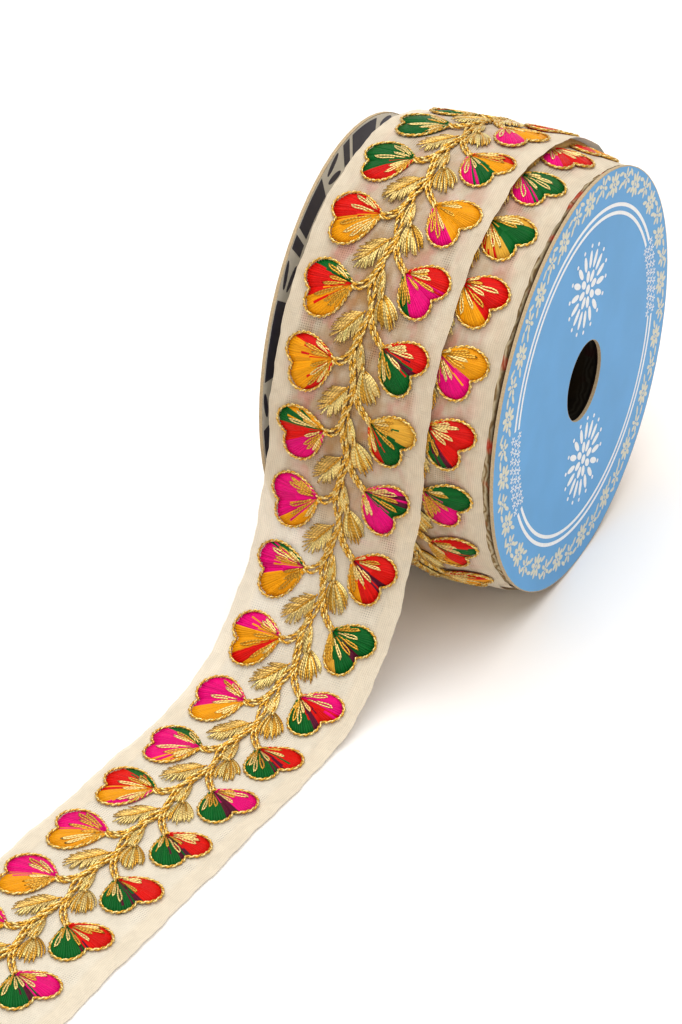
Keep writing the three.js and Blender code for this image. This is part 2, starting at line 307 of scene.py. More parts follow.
class Threads:
    """Closed threads of one piece: rings of points joined by quads, with a colour for each face.

    They are gathered as arrays, because there are thousands and an operator for each takes too long.
    """

    def __init__(self, place):
        self.place = place
        self.points, self.faces, self.colours, self.runs = [], [], [], []
        self.count = 0

    def add(self, paths, half_width, half_height, sides, colours, closed=False):
        """Paths are strands by rings of along, across and lift. Colours are one for each strand's ring."""
        paths = np.asarray(paths, float)
        strands, rings = paths.shape[:2]
        if closed:
            slope = np.roll(paths, -1, axis=1) - np.roll(paths, 1, axis=1)
        else:
            slope = np.gradient(paths, axis=1)
        slope = unit(slope)
        flat = unit(np.stack([-slope[..., 1], slope[..., 0], np.zeros((strands, rings))], axis=-1))
        up = np.cross(slope, flat)
        around = FULL_TURN * (np.arange(sides) + 0.5) / sides
        width = np.broadcast_to(half_width, (strands, rings))[..., None, None]
        height = np.broadcast_to(half_height, (strands, rings))[..., None, None]
        wide = width * np.cos(around)[:, None] * flat[..., None, :]
        high = height * np.sin(around)[:, None] * up[..., None, :]
        ring = paths[..., None, :] + wide + high
        steps = np.linalg.norm(np.diff(paths, axis=1), axis=-1)
        run = np.concatenate([np.zeros((strands, 1)), np.cumsum(steps, axis=1)], axis=1)
        turn = np.broadcast_to(np.arange(sides) / sides, (strands, rings, sides))
        runs = np.stack([np.broadcast_to(run[..., None], turn.shape), turn, np.zeros(turn.shape)], axis=-1)
        index = self.count + np.arange(strands * rings * sides).reshape(strands, rings, sides)
        ahead = np.roll(index, -1, axis=1) if closed else index[:, 1:]
        here = index if closed else index[:, :-1]
        walls = np.stack([here, np.roll(here, -1, axis=2), np.roll(ahead, -1, axis=2), ahead], axis=-1)
        tints = np.broadcast_to(np.asarray(colours, float), (strands, rings, 3))
        wall_tints = np.repeat(tints[:, :walls.shape[1], None, :], sides, axis=2)
        self.faces.append(walls.reshape(-1, 4))
        self.colours.append(wall_tints.reshape(-1, 3))
        if not closed:
            half = sides // 2
            for cap, tint in ((index[:, 0, ::-1], tints[:, 0]), (index[:, -1], tints[:, -1])):
                for k in range(half - 1):
                    corners = [cap[:, k], cap[:, k + 1], cap[:, sides - 2 - k], cap[:, sides - 1 - k]]
                    self.faces.append(np.stack(corners, axis=-1))
                    self.colours.append(tint)
        self.points.append(ring.reshape(-1, 3))
        self.runs.append(runs.reshape(-1, 3))
        self.count += strands * rings * sides

    def object(self, name, material):
        """The finished piece. Its points keep how far along their thread they lie, and how far round it."""
        flat = np.concatenate(self.points)
        points = in_row_frame(self.place(flat[:, 0], flat[:, 1], flat[:, 2]))
        faces = np.concatenate(self.faces)
        mesh = bpy.data.meshes.new(name)
        mesh.vertices.add(len(points))
        mesh.vertices.foreach_set("co", points.astype(np.float32).ravel())
        mesh.loops.add(faces.size)
        mesh.loops.foreach_set("vertex_index", faces.astype(np.int32).ravel())
        mesh.polygons.add(len(faces))
        mesh.polygons.foreach_set("loop_start", np.arange(0, faces.size, 4, dtype=np.int32))
        mesh.update(calc_edges=True)
        tint = mesh.attributes.new("thread_colour", "FLOAT_COLOR", "CORNER")
        full = np.ones((len(faces), 4, 4), np.float32)
        full[..., :3] = np.concatenate(self.colours)[:, None, :]
        tint.data.foreach_set("color", full.ravel())
        run = mesh.attributes.new("thread_run", "FLOAT_VECTOR", "POINT")
        run.data.foreach_set("vector", np.concatenate(self.runs).astype(np.float32).ravel())
        mesh.polygons.foreach_set("use_smooth", np.ones(len(faces), bool))
        mesh.validate()
        return finished_object(name, mesh, material)


def finished_object(name, mesh, material):
    """Links a mesh whose place is in its points, and lets it ride on the one body."""
    made = bpy.data.objects.new(name, mesh)
    mesh.materials.append(material)
    bpy.context.scene.collection.objects.link(made)
    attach(made, "root")
    return made


def twisted(line, pitch, spread, phase=0.0):
    """Two plies that wind round one line of along, across and lift."""
    slope = unit(np.gradient(line, axis=0))
    flat = np.stack([-slope[:, 1], slope[:, 0], np.zeros(len(line))], axis=1)
    run = run_along(line)
    paths = []
    for ply in (0.0, 0.5):
        angle = FULL_TURN * (run / pitch + ply) + phase
        paths.append(line + spread * (np.cos(angle)[:, None] * flat + np.sin(angle)[:, None] * [0, 0, 1]))
    return np.array(paths)


def heart_half(heart, count):
    """One side of a heart from its tip to its cleft, as points along and across its axis."""
    length, half = heart["length"], heart["half_width"]
    share = np.linspace(0, 1, 40)
    widest = (0.64 * length, half)
    rise = [(0, 0), (0.15 * length, 0.43 * half), (0.32 * length, half), widest]
    lobe = [widest, (0.94 * length, half), (1.1 * length, 0.45 * half), (heart["cleft"], 0)]
    parts = [bezier([np.array(p, float) for p in points], share) for points in (rise, lobe)]
    return along_line(np.concatenate([parts[0], parts[1][1:]]), count)


def on_motif(points, motif, start):
    """Points along and across a motif's axis, turned and moved to its place in the repeat from start."""
    points = np.asarray(points, float)
    cos, sin = math.cos(motif["angle"]), math.sin(motif["angle"])
    turned = np.array(points)
    turned[..., 0] = start + motif["along"] + points[..., 0] * cos - points[..., 1] * sin
    turned[..., 1] = motif["across"] + points[..., 0] * sin + points[..., 1] * cos
    return turned


# Sizes and colours that a user would change


class LaceRollSizes(bpy.types.PropertyGroup):
    mesh_pitch: bpy.props.FloatProperty(
        name="Net pitch", description="Distance between the net's threads in millimetres", default=0.7)
    hem_width: bpy.props.FloatProperty(
        name="Hem width", description="Width of the folded hem in millimetres", default=6.5)
    cord_radius: bpy.props.FloatProperty(
        name="Cord radius", description="Radius of one ply of gold cord in millimetres", default=0.34)
    silk_strands: bpy.props.IntProperty(
        name="Silk strands", description="Satin strands on each side of a heart", default=26, min=6)
    leaf_stitches: bpy.props.IntProperty(
        name="Leaf stitches", description="Gold stitches on each side of a leaf", default=18, min=3)
    border_flowers: bpy.props.IntProperty(
        name="Border flowers", description="Flower sprays round the printed disc", default=20, min=4)


# Colours by key, name, what they are on and sRGB hex value
COLOURS = (
    ("net", "Net", "Single net between the hems", "ECE4D1"),
    ("hem", "Hem", "Folded hem of the net", "E9DEC8"),
    ("buried", "Wound lace", "Lace of the turns below", "CDAA6C"),
    ("gold", "Gold", "Gold thread", "E8AE3A"),
    # Bright gold is a paler thread on the pale leaf, and elsewhere a painted glint on stitches and on one
    # ply of each cord
    ("gold_bright", "Bright gold", "Gold thread, lighter", "FFE08E"),
    ("gold_dark", "Dark gold", "Gold thread, darker", "A8762E"),
    ("pink", "Pink", "Pink silk", "E80078"),
    ("red", "Red", "Red silk", "DB0F08"),
    ("orange", "Orange", "Orange silk", "F2A00C"),
    ("green", "Green", "Green silk", "025F22"),
    ("plum", "Dark plum", "Dark silk between bands", "58112E"),
    ("card_blue", "Blue card", "Printed card", "5EA3DB"),
    ("card_kraft", "Kraft board", "Cut edge of the card", "C4AE8C"),
    ("card_cream", "Cream card", "Paper of the back disc", "F6F1E6"),
    ("ink_white", "White ink", "Rings on the blue card", "F2F4F6"),
    ("ink_cream", "Cream ink", "Flowers on the blue card", "DAD8C4"),
    ("ink_navy", "Navy ink", "Print on the back disc", "1E1B3C"),
)


class LaceRollColours(bpy.types.PropertyGroup):
    __annotations__ = {
        key: bpy.props.FloatVectorProperty(name=name, description=use, subtype="COLOR", default=linear(code))
        for key, name, use, code in COLOURS}


def sizes():
    return bpy.context.scene.lace_roll_sizes


def colours():
    return bpy.context.scene.lace_roll_colours


# Materials


HEART_BLUSH = linear("DC1846")
# Brown of the painted shadow patches on the wound lace
SHADOW_PATCH_BROWN = linear("75593A")
EDGE_SHADE = linear("94764C")
EDGE_CREAM = linear("E4D2AC")
# Dark brown of the painted shadow in the gap against the printed disc
CARD_GAP_SHADOW = linear("4A3822")
# How far the rows of hearts lie to each side of the vine
HEART_ROW = 13.0
# Paper fibres about 0.5 mm long, read in metres
FIBRE_SCALE = 1 / (0.5 * MM)
# A Mix node's colour inputs by number, because its other kinds of input have the same names
MIX_A = 6
MIX_B = 7


def set_inputs(tree, node, links):
    """Gives each input of a node a value, another node's output, or a node for the first output it shows."""
    for name, source in links.items():
        if isinstance(source, bpy.types.Node):
            source = next(output for output in source.outputs if output.enabled)
        if isinstance(source, bpy.types.NodeSocket):
            tree.links.new(source, node.inputs[name])
        else:
            node.inputs[name].default_value = source


def add_node(tree, kind, links=None, **settings):
    """Adds a node with its settings and links."""
    node = tree.nodes.new(kind)
    for name, value in settings.items():
        setattr(node, name, value)
    set_inputs(tree, node, links or {})
    return node


def new_material(name):
    """A material with a Principled shader, and its node tree."""
    material = bpy.data.materials.new(name)
    material.use_nodes = True
    return material, material.node_tree, material.node_tree.nodes["Principled BSDF"]


def lace_place(tree):
    """Where a point lies on the flat lace, whole and as along, across and the distance from its edge."""
    place = add_node(tree, "ShaderNodeAttribute", attribute_name="lace_place").outputs["Vector"]
    return place, *add_node(tree, "ShaderNodeSeparateXYZ", {"Vector": place}).outputs


def ripples(tree, value, spacing):
    """Waves from -1 to 1, one for each spacing of the value."""
    phase = add_node(tree, "ShaderNodeMath", {0: value, 1: FULL_TURN / spacing}, operation="MULTIPLY")
    return add_node(tree, "ShaderNodeMath", {0: phase}, operation="SINE")


def heart_rows(tree, side, inner, outer, most):
    """How far hearts show: most within inner of their rows' middle, and nothing past outer."""
    off = add_node(tree, "ShaderNodeMath", {0: side, 1: HEART_ROW}, operation="SUBTRACT")
    away = add_node(tree, "ShaderNodeMath", {0: off}, operation="ABSOLUTE")
    return add_node(
        tree, "ShaderNodeMapRange",
        {"Value": away, "From Min": inner, "From Max": outer, "To Min": most, "To Max": 0.0})


def from_axis(tree, point):
    """How far a point lies from the spool's axis, in metres."""
    middle = (0, -AXIS_Y * MM, -AXIS_HEIGHT * MM)
    centred = add_node(tree, "ShaderNodeVectorMath", {0: point, 1: middle}, operation="ADD")
    radial = add_node(tree, "ShaderNodeVectorMath", {0: centred, 1: (0, 1, 1)}, operation="MULTIPLY")
    return add_node(tree, "ShaderNodeVectorMath", {0: radial}, operation="LENGTH")


def silk_material():
    """Twisted rayon silk laid flat in satin stitch: a soft lustre along the stitches."""
    material, tree, shader = new_material("satin_rayon_silk")
    tint = add_node(tree, "ShaderNodeAttribute", attribute_name="thread_colour")
    run = add_node(tree, "ShaderNodeAttribute", attribute_name="thread_run")
    # Filaments drawn as four ridges round a strand, about 0.4 mm apart, far coarser than the real ones
    ridges = add_node(
        tree, "ShaderNodeTexWave", {"Vector": run.outputs["Vector"], "Scale": 1.3, "Distortion": 0.6},
        bands_direction="Y")
    bump = add_node(
        tree, "ShaderNodeBump",
        {"Height": ridges.outputs["Fac"], "Strength": 0.25, "Distance": 0.2 * MM})
    set_inputs(tree, shader, {
        "Base Color": tint, "Normal": bump, "Roughness": 0.5, "Specular IOR Level": 0.14})
    return material


def gold_material():
    """Metallised zari thread wound on a core: warm metal glints broken by the twist."""
    material, tree, shader = new_material("zari_gold_thread")
    tint = add_node(tree, "ShaderNodeAttribute", attribute_name="thread_colour")
    run = add_node(tree, "ShaderNodeAttribute", attribute_name="thread_run")
    # The foil's wind is drawn as one turn for each millimetre, about three times the real pitch
    wind = add_node(
        tree, "ShaderNodeTexWave", {"Vector": run.outputs["Vector"], "Scale": 0.63, "Distortion": 0.5},
        bands_direction="DIAGONAL").outputs["Fac"]
    # Painted shade in the grooves between the wind's turns
    painted_groove_shade = add_node(tree, "ShaderNodeMapRange", {"Value": wind, "To Min": 0.6, "To Max": 1.0})
    shade = add_node(tree, "ShaderNodeVectorMath", {0: tint, "Scale": painted_groove_shade}, operation="SCALE")
    bump = add_node(tree, "ShaderNodeBump", {"Height": wind, "Strength": 0.25, "Distance": 0.2 * MM})
    set_inputs(tree, shader, {"Base Color": shade, "Normal": bump, "Metallic": 0.72, "Roughness": 0.3})
    return material


def net_material():
    """Soft cotton net: fine open threads that let what lies below show, closed where the hem is folded."""
    material, tree, shader = new_material("cream_cotton_net")
    place, along, across, edge = lace_place(tree)
    # Threads as waves along and across, at a pitch about twice the real one so that they show
    warp = ripples(tree, along, sizes().mesh_pitch)
    weft = ripples(tree, across, sizes().mesh_pitch)
    thread = add_node(tree, "ShaderNodeMath", {0: warp, 1: weft}, operation="MAXIMUM")
    # Slack places where the threads have closed up, about 10 mm across
    slack = add_node(tree, "ShaderNodeTexNoise", {"Vector": place, "Scale": 0.1, "Detail": 3.0})
    closed = add_node(
        tree, "ShaderNodeMapRange",
        {"Value": slack, "From Min": 0.34, "From Max": 0.47, "To Min": 0.42, "To Max": 0.78})
    open_net = add_node(
        tree, "ShaderNodeMapRange",
        {"Value": thread, "From Min": -0.5, "From Max": 0.7, "To Min": closed, "To Max": 0.84})
    # The folded hem is two layers, with loose threads along its fold about 0.6 mm apart
    strand = ripples(tree, edge, spacing=0.6)
    fold = add_node(
        tree, "ShaderNodeMapRange", {"Value": strand, "From Min": -1.0, "To Min": 0.8, "To Max": 0.94})
    in_hem = add_node(
        tree, "ShaderNodeMapRange",
        {"Value": edge, "From Min": sizes().hem_width - 1.4, "From Max": sizes().hem_width + 0.8,
         "To Min": 1.0, "To Max": 0.0}, interpolation_type="SMOOTHSTEP")
    hem = add_node(tree, "ShaderNodeMath", {0: fold, 1: in_hem}, operation="MULTIPLY")
    cover = add_node(tree, "ShaderNodeMath", {0: open_net, 1: hem}, operation="MAXIMUM")
    # Creases about 4.5 mm apart, which bump the cloth and are painted on its colour as shade and sheen
    crease = add_node(
        tree, "ShaderNodeTexNoise", {"Vector": place, "Scale": 0.22, "Detail": 4.0, "Distortion": 0.6})
    tone = add_node(
        tree, "ShaderNodeMapRange",
        {"Value": crease, "From Min": 0.3, "From Max": 0.7, "To Min": 0.9, "To Max": 1.02})
    shade = add_node(
        tree, "ShaderNodeMapRange", {"Value": thread, "From Min": -1.0, "To Min": 0.95, "To Max": 1.0})
    # Painted shade and sheen of the creases, with the shade between threads
    painted_shade_and_sheen = add_node(tree, "ShaderNodeMath", {0: tone, 1: shade}, operation="MULTIPLY")
    cloth = add_node(
        tree, "ShaderNodeMix", {0: in_hem, MIX_A: (*colours().net, 1), MIX_B: (*colours().hem, 1)},
        data_type="RGBA")
    # Gold behind the net warms it by the vine, in clouds about 6 mm across. On the roll that is the gold
    # of the turns below, and on the loose end the threads of its own back. Where the loose end starts to
    # fall, the same tint is painted shade of the roll seen through the net.
    below = add_node(tree, "ShaderNodeAttribute", attribute_name="turns_below").outputs["Fac"]
    behind = add_node(tree, "ShaderNodeMapRange", {"Value": below, "To Min": 0.06})
    side = add_node(tree, "ShaderNodeMath", {0: across}, operation="ABSOLUTE")
    stem = add_node(
        tree, "ShaderNodeMapRange",
        {"Value": side, "From Min": 4.0, "From Max": 15.0, "To Min": 0.86, "To Max": 0.5})
    haze = add_node(tree, "ShaderNodeTexNoise", {"Vector": place, "Scale": 0.16, "Detail": 4.0})
    cloud = add_node(
        tree, "ShaderNodeMapRange", {"Value": haze, "From Min": 0.3, "From Max": 0.6, "To Min": 0.4})
    vine = add_node(tree, "ShaderNodeMath", {0: stem, 1: cloud}, operation="MULTIPLY")
    behind_gold_and_shade = add_node(tree, "ShaderNodeMath", {0: vine, 1: behind}, operation="MULTIPLY")
    open_part = add_node(tree, "ShaderNodeMapRange", {"Value": in_hem, "To Min": 1.0, "To Max": 0.4})
    gold = add_node(tree, "ShaderNodeMath", {0: behind_gold_and_shade, 1: open_part}, operation="MULTIPLY")
    golden = add_node(
        tree, "ShaderNodeMix", {0: gold, MIX_A: cloth, MIX_B: (*colours().gold_dark, 1)}, data_type="RGBA")
    # The hearts below show as a blush, in patches about 8 mm across
    near = heart_rows(tree, side, inner=2.0, outer=10.0, most=0.28)
    spots = add_node(tree, "ShaderNodeTexNoise", {"Vector": place, "Scale": 0.13, "Detail": 2.0})
    patch = add_node(tree, "ShaderNodeMapRange", {"Value": spots, "From Min": 0.48, "From Max": 0.62})
    heart = add_node(tree, "ShaderNodeMath", {0: near, 1: patch}, operation="MULTIPLY")
    blush = add_node(tree, "ShaderNodeMath", {0: heart, 1: below}, operation="MULTIPLY")
    stained = add_node(
        tree, "ShaderNodeMix", {0: blush, MIX_A: golden, MIX_B: (*HEART_BLUSH, 1)}, data_type="RGBA")
    tint = add_node(tree, "ShaderNodeVectorMath", {0: stained, "Scale": painted_shade_and_sheen}, operation="SCALE")
    soft = add_node(tree, "ShaderNodeBump", {"Height": crease, "Strength": 0.5, "Distance": 1.2 * MM})
    bump = add_node(
        tree, "ShaderNodeBump", {"Height": thread, "Strength": 0.2, "Distance": 0.1 * MM, "Normal": soft})
    set_inputs(tree, shader, {
        "Base Color": tint, "Alpha": cover, "Normal": bump, "Roughness": 0.85, "Specular IOR Level": 0.15})
    return material


def buried_material():
    """Turns of lace pressed on one another: cream cloth, the silk and gold below showing faintly, and
    painted shade and shadow.
    """
    material, tree, shader = new_material("wound_net_layers")
    place, _, across, _ = lace_place(tree)
    side = add_node(tree, "ShaderNodeMath", {0: across}, operation="ABSOLUTE")
    # Gold of the vine and leaves below, broken into flecks about 2.5 mm long
    stem = add_node(
        tree, "ShaderNodeMapRange",
        {"Value": side, "From Min": 3.0, "From Max": 11.0, "To Min": 1.0, "To Max": 0.45})
    fleck = add_node(tree, "ShaderNodeTexNoise", {"Vector": place, "Scale": 0.4, "Detail": 5.0})
    sharp = add_node(tree, "ShaderNodeMapRange", {"Value": fleck, "From Min": 0.42, "From Max": 0.62})
    gold = add_node(tree, "ShaderNodeMath", {0: stem, 1: sharp}, operation="MULTIPLY")
    # Hearts of the turns below, in patches about 9 mm across
    near = heart_rows(tree, side, inner=3.0, outer=11.0, most=1.0)
    cloud = add_node(tree, "ShaderNodeTexNoise", {"Vector": place, "Scale": 0.11, "Detail": 2.0})
    patch = add_node(tree, "ShaderNodeMapRange", {"Value": cloud, "From Min": 0.47, "From Max": 0.56})
    ghost = add_node(tree, "ShaderNodeMath", {0: near, 1: patch}, operation="MULTIPLY")
    cream = add_node(
        tree, "ShaderNodeMix", {0: gold, MIX_A: (*colours().buried, 1), MIX_B: (*colours().gold_dark, 1)},
        data_type="RGBA")
    silk = add_node(
        tree, "ShaderNodeMix", {0: ghost, MIX_A: cream, MIX_B: (*colours().pink, 1)}, data_type="RGBA")
    # Dark brown patches under the net's open places: painted shadow
    stack = add_node(tree, "ShaderNodeTexNoise", {"Vector": place, "Scale": 0.1, "Detail": 3.0})
    shadow_patch = add_node(
        tree, "ShaderNodeMapRange", {"Value": stack, "From Min": 0.47, "From Max": 0.36, "To Max": 0.8})
    brown = add_node(
        tree, "ShaderNodeMix", {0: shadow_patch, MIX_A: silk, MIX_B: (*SHADOW_PATCH_BROWN, 1)}, data_type="RGBA")
    # By the back disc the hems of many turns lie side by side, about 1.5 mm apart, with painted shade
    # between them
    flank = add_node(tree, "ShaderNodeMapRange", {"Value": across, "From Min": -16.0, "From Max": -19.0})
    wander = add_node(tree, "ShaderNodeMath", {0: stack, 1: 9.0}, operation="MULTIPLY")
    shift = add_node(tree, "ShaderNodeMath", {0: across, 1: wander}, operation="ADD")
    crest = ripples(tree, shift, spacing=1.5)
    fall = add_node(tree, "ShaderNodeMapRange", {"Value": crest, "From Min": -1.0, "To Min": 0.72})
    shaded_hem_edges = add_node(tree, "ShaderNodeVectorMath", {0: colours().hem, "Scale": fall}, operation="SCALE")
    hems = add_node(tree, "ShaderNodeMix", {0: flank, MIX_A: brown, MIX_B: shaded_hem_edges}, data_type="RGBA")
    # By the printed disc the edges of deeper turns show as streaks with painted shade between them, a dark
    # painted shadow in the gap against the card, and a few red hearts
    slot = add_node(tree, "ShaderNodeMapRange", {"Value": across, "From Min": 30.0, "From Max": 31.5})
    streak = add_node(tree, "ShaderNodeMapRange", {"Value": crest, "From Min": -1.0})
    turned = add_node(
        tree, "ShaderNodeMix", {0: streak, MIX_A: (*EDGE_SHADE, 1), MIX_B: (*EDGE_CREAM, 1)},
        data_type="RGBA")
    gap = add_node(tree, "ShaderNodeMapRange", {"Value": across, "From Min": 33.4, "From Max": 34.5})
    shut = add_node(
        tree, "ShaderNodeMix", {0: gap, MIX_A: turned, MIX_B: (*CARD_GAP_SHADOW, 1)}, data_type="RGBA")
    dim = add_node(tree, "ShaderNodeMix", {0: slot, MIX_A: hems, MIX_B: shut}, data_type="RGBA")
    rare = add_node(
        tree, "ShaderNodeMapRange", {"Value": cloud, "From Min": 0.57, "From Max": 0.7, "To Max": 0.75})
    red = add_node(tree, "ShaderNodeMath", {0: slot, 1: rare}, operation="MULTIPLY")
    deep = add_node(
        tree, "ShaderNodeMix", {0: red, MIX_A: dim, MIX_B: (*colours().red, 1)}, data_type="RGBA")
    # Edges of the turns show on the sides, one about each 1.6 mm outwards, with painted shade between them,
    # and the bore's wall is painted near black as painted shade
    radius = from_axis(tree, add_node(tree, "ShaderNodeTexCoord").outputs["Object"])
    edge = ripples(tree, radius, spacing=1.6 * MM)
    turn_edge_shade = add_node(tree, "ShaderNodeMapRange", {"Value": edge, "From Min": -1.0, "To Min": 0.72})
    bore_shade = add_node(
        tree, "ShaderNodeMapRange",
        {"Value": radius, "From Min": BORE_RADIUS * MM, "From Max": (BORE_RADIUS + 3) * MM,
         "To Min": 0.02, "To Max": 1.0})
    shade = add_node(tree, "ShaderNodeMath", {0: turn_edge_shade, 1: bore_shade}, operation="MULTIPLY")
    tint = add_node(tree, "ShaderNodeVectorMath", {0: deep, "Scale": shade}, operation="SCALE")
    bump = add_node(tree, "ShaderNodeBump", {"Height": fleck, "Strength": 0.3, "Distance": 0.4 * MM})
    set_inputs(tree, shader, {
        "Base Color": tint, "Normal": bump, "Roughness": 0.9, "Specular IOR Level": 0.1})
    return material


def card_material(name, face_colour, face_from):
    """Printed paper on grey-brown board: an even satin face, and a fibrous cut edge round rim and hole.

    The face colour lies where X is past face_from, and plain paper on the other side.
    """
    material, tree, shader = new_material(name)
    point = add_node(tree, "ShaderNodeTexCoord").outputs["Object"]
    x = add_node(tree, "ShaderNodeSeparateXYZ", {"Vector": point}).outputs["X"]
    radius = from_axis(tree, point)
    fibre = add_node(tree, "ShaderNodeTexNoise", {"Vector": point, "Scale": FIBRE_SCALE, "Detail": 4.0})
    # Ink that took unevenly, in clouds about 17 mm across
    cloud = add_node(tree, "ShaderNodeTexNoise", {"Vector": point, "Scale": 60.0, "Detail": 2.0})
    ink = add_node(
        tree, "ShaderNodeMapRange",
        {"Value": cloud, "From Min": 0.3, "From Max": 0.7, "To Min": 0.95, "To Max": 1.04})
    on_face = add_node(tree, "ShaderNodeMath", {0: x, 1: face_from * MM}, operation="GREATER_THAN")
    paper = add_node(
        tree, "ShaderNodeMix", {0: on_face, MIX_A: (*colours().card_cream, 1), MIX_B: (*face_colour, 1)},
        data_type="RGBA")
    printed = add_node(tree, "ShaderNodeVectorMath", {0: paper, "Scale": ink}, operation="SCALE")
    # The board shows on the cut, and where the paper is rubbed through at the rim
    rub = add_node(
        tree, "ShaderNodeMapRange", {"Value": fibre, "To Min": -0.25 * MM, "To Max": 0.35 * MM})
    worn = add_node(tree, "ShaderNodeMath", {0: radius, 1: rub}, operation="ADD")
    rim = add_node(
        tree, "ShaderNodeMath", {0: worn, 1: (DISC_RADIUS - 0.25) * MM}, operation="GREATER_THAN")
    hole = add_node(
        tree, "ShaderNodeMath", {0: radius, 1: (HOLE_RADIUS + 0.12) * MM}, operation="LESS_THAN")
    cut = add_node(tree, "ShaderNodeMath", {0: rim, 1: hole}, operation="MAXIMUM")
    board_shade = add_node(
        tree, "ShaderNodeMapRange",
        {"Value": fibre, "From Min": 0.25, "From Max": 0.75, "To Min": 0.7, "To Max": 1.1})
    board = add_node(
        tree, "ShaderNodeVectorMath", {0: colours().card_kraft, "Scale": board_shade}, operation="SCALE")
    tint = add_node(tree, "ShaderNodeMix", {0: cut, MIX_A: printed, MIX_B: board}, data_type="RGBA")
    gloss = add_node(tree, "ShaderNodeMapRange", {"Value": cut, "To Min": 0.5, "To Max": 0.9})
    bump = add_node(tree, "ShaderNodeBump", {"Height": fibre, "Strength": 0.06, "Distance": 0.2 * MM})
    set_inputs(tree, shader, {
        "Base Color": tint, "Roughness": gloss, "Specular IOR Level": 0.2, "Normal": bump})
    return material


def ink_material(name, colour):
    """A thin film of offset ink on paper: flat colour with the paper's fibres just showing."""
    material, tree, shader = new_material(name)
    point = add_node(tree, "ShaderNodeTexCoord").outputs["Object"]
    fibre = add_node(tree, "ShaderNodeTexNoise", {"Vector": point, "Scale": FIBRE_SCALE, "Detail": 3.0})
    thin = add_node(
        tree, "ShaderNodeMapRange",
        {"Value": fibre, "From Min": 0.3, "From Max": 0.7, "To Min": 0.9, "To Max": 1.02})
    tint = add_node(tree, "ShaderNodeVectorMath", {0: colour, "Scale": thin}, operation="SCALE")
    set_inputs(tree, shader, {"Base Color": tint, "Roughness": 0.45})
    return material


# Cloth of the roll and of the loose end


LACE_NET_LIFT = -0.35
NET_COLUMNS = 29
NET_STEP = 2.2
TAIL_STEP = 2.0
LAYER_LIFT = -1.0
LAYER_COLUMNS = 19
LAYER_STEP = 3.5
# Shares of a full turn that the last turn's net covers, and the stack below it
LAST_NET_SHARE = 0.95
LAST_STACK_SHARE = 0.93
# Along the lace: where the turns behind it come to show in full, and where they fade out down the fall,
# over which their tint is painted shade of the roll behind
BEHIND_GROWS = (-110, -40)
BEHIND_FADES = (0, 55)


def uneven(along, seed):
    """A hem's small wander to and fro, in millimetres."""
    return (0.22 * np.sin(along / 5.3 + seed) + 0.16 * np.sin(along / 2.1 + 2.3 * seed)
            + 0.1 * np.sin(along / 0.93 + 4.1 * seed))


def bend_grid(work, rows, place, heights):
    """Adds a grid of cloth: rows are along positions, and heights gives across and lift of each column.

    Each point keeps where it lies on the flat lace, with its distance from the nearer edge, and how much
    of other turns shows from behind it: most at the roll's front, less at its top and down the fall, where
    that tint is painted shade of the roll behind.
    """
    along, across, lift = heights(np.asarray(rows, float))
    steps, columns = along.shape
    layers = work.verts.layers
    flat = layers.float_vector.get("lace_place") or layers.float_vector.new("lace_place")
    below = layers.float.get("turns_below") or layers.float.new("turns_below")
    grid = bmesh.ops.create_grid(work, x_segments=steps - 1, y_segments=columns - 1, size=0.5)["verts"]
    order = np.array([(v.co.x, v.co.y) for v in grid])
    row = np.rint((order[:, 0] + 0.5) * (steps - 1)).astype(int)
    column = np.rint((order[:, 1] + 0.5) * (columns - 1)).astype(int)
    points = in_row_frame(place(along, across, lift))
    low, high = across.min(axis=1, keepdims=True), across.max(axis=1, keepdims=True)
    edge = np.minimum(across - low, high - across)
    behind = 0.5 + 0.5 * smoothstep(along, *BEHIND_GROWS)
    if place is on_lace:
        behind = behind * (1 - smoothstep(along, *BEHIND_FADES))
    for vert, i, j in zip(grid, row, column):
        vert.co = points[i, j]
        vert[below] = behind[i, j]
        vert[flat] = (along[i, j], across[i, j], edge[i, j])


def cloth_object(work, name, material):
    """The finished piece of cloth, with smooth faces."""
    mesh = bpy.data.meshes.new(name)
    work.to_mesh(mesh)
    work.free()
    mesh.polygons.foreach_set("use_smooth", np.ones(len(mesh.polygons), bool))
    return finished_object(name, mesh, material)


def net_object(stretch, rows, place, heights):
    """The net of one stretch of lace."""
    work = bmesh.new()
    bend_grid(work, rows, place, heights)
    return cloth_object(work, f"{stretch}_net", bpy.data.materials["cream_cotton_net"])


def net_heights(left, right, seed, stand):
    """Columns of a net sheet between two edges. Stand is how far its right hem lifts off the turn below."""
    def heights(rows):
        shares = np.linspace(0, 1, NET_COLUMNS)
        low = left(rows) - uneven(rows, seed)
        high = right(rows) + uneven(rows, seed + 1.7)
        across = low[:, None] + (high - low)[:, None] * shares
        along = np.broadcast_to(rows[:, None], across.shape)
        ripple = 0.12 * np.sin(along / 7.7 + across / 5.1 + seed) + 0.1 * np.sin(along / 3.3 - across / 8.9)
        raised = stand * smoothstep(shares, 0.86, 1.0) * (0.6 + 0.4 * np.sin(along / 11.0 + seed))
        return along, across, LACE_NET_LIFT + ripple + raised
    return heights


def layer_heights(left, right):
    """Columns of a stack of turns: its top, and its two sides folded down by the stack's depth."""
    def heights(rows):
        side = [TURN_DEPTH, TURN_DEPTH / 2, 0.3]
        shares = np.concatenate([[0, 0, 0], np.linspace(0.02, 0.98, LAYER_COLUMNS), [1, 1, 1]])
        drop = np.concatenate([side, np.zeros(LAYER_COLUMNS), side[::-1]])
        across = left(rows)[:, None] + (right(rows) - left(rows))[:, None] * shares
        along = np.broadcast_to(rows[:, None], across.shape)
        return along, across, np.broadcast_to(LAYER_LIFT - drop, across.shape)
    return heights


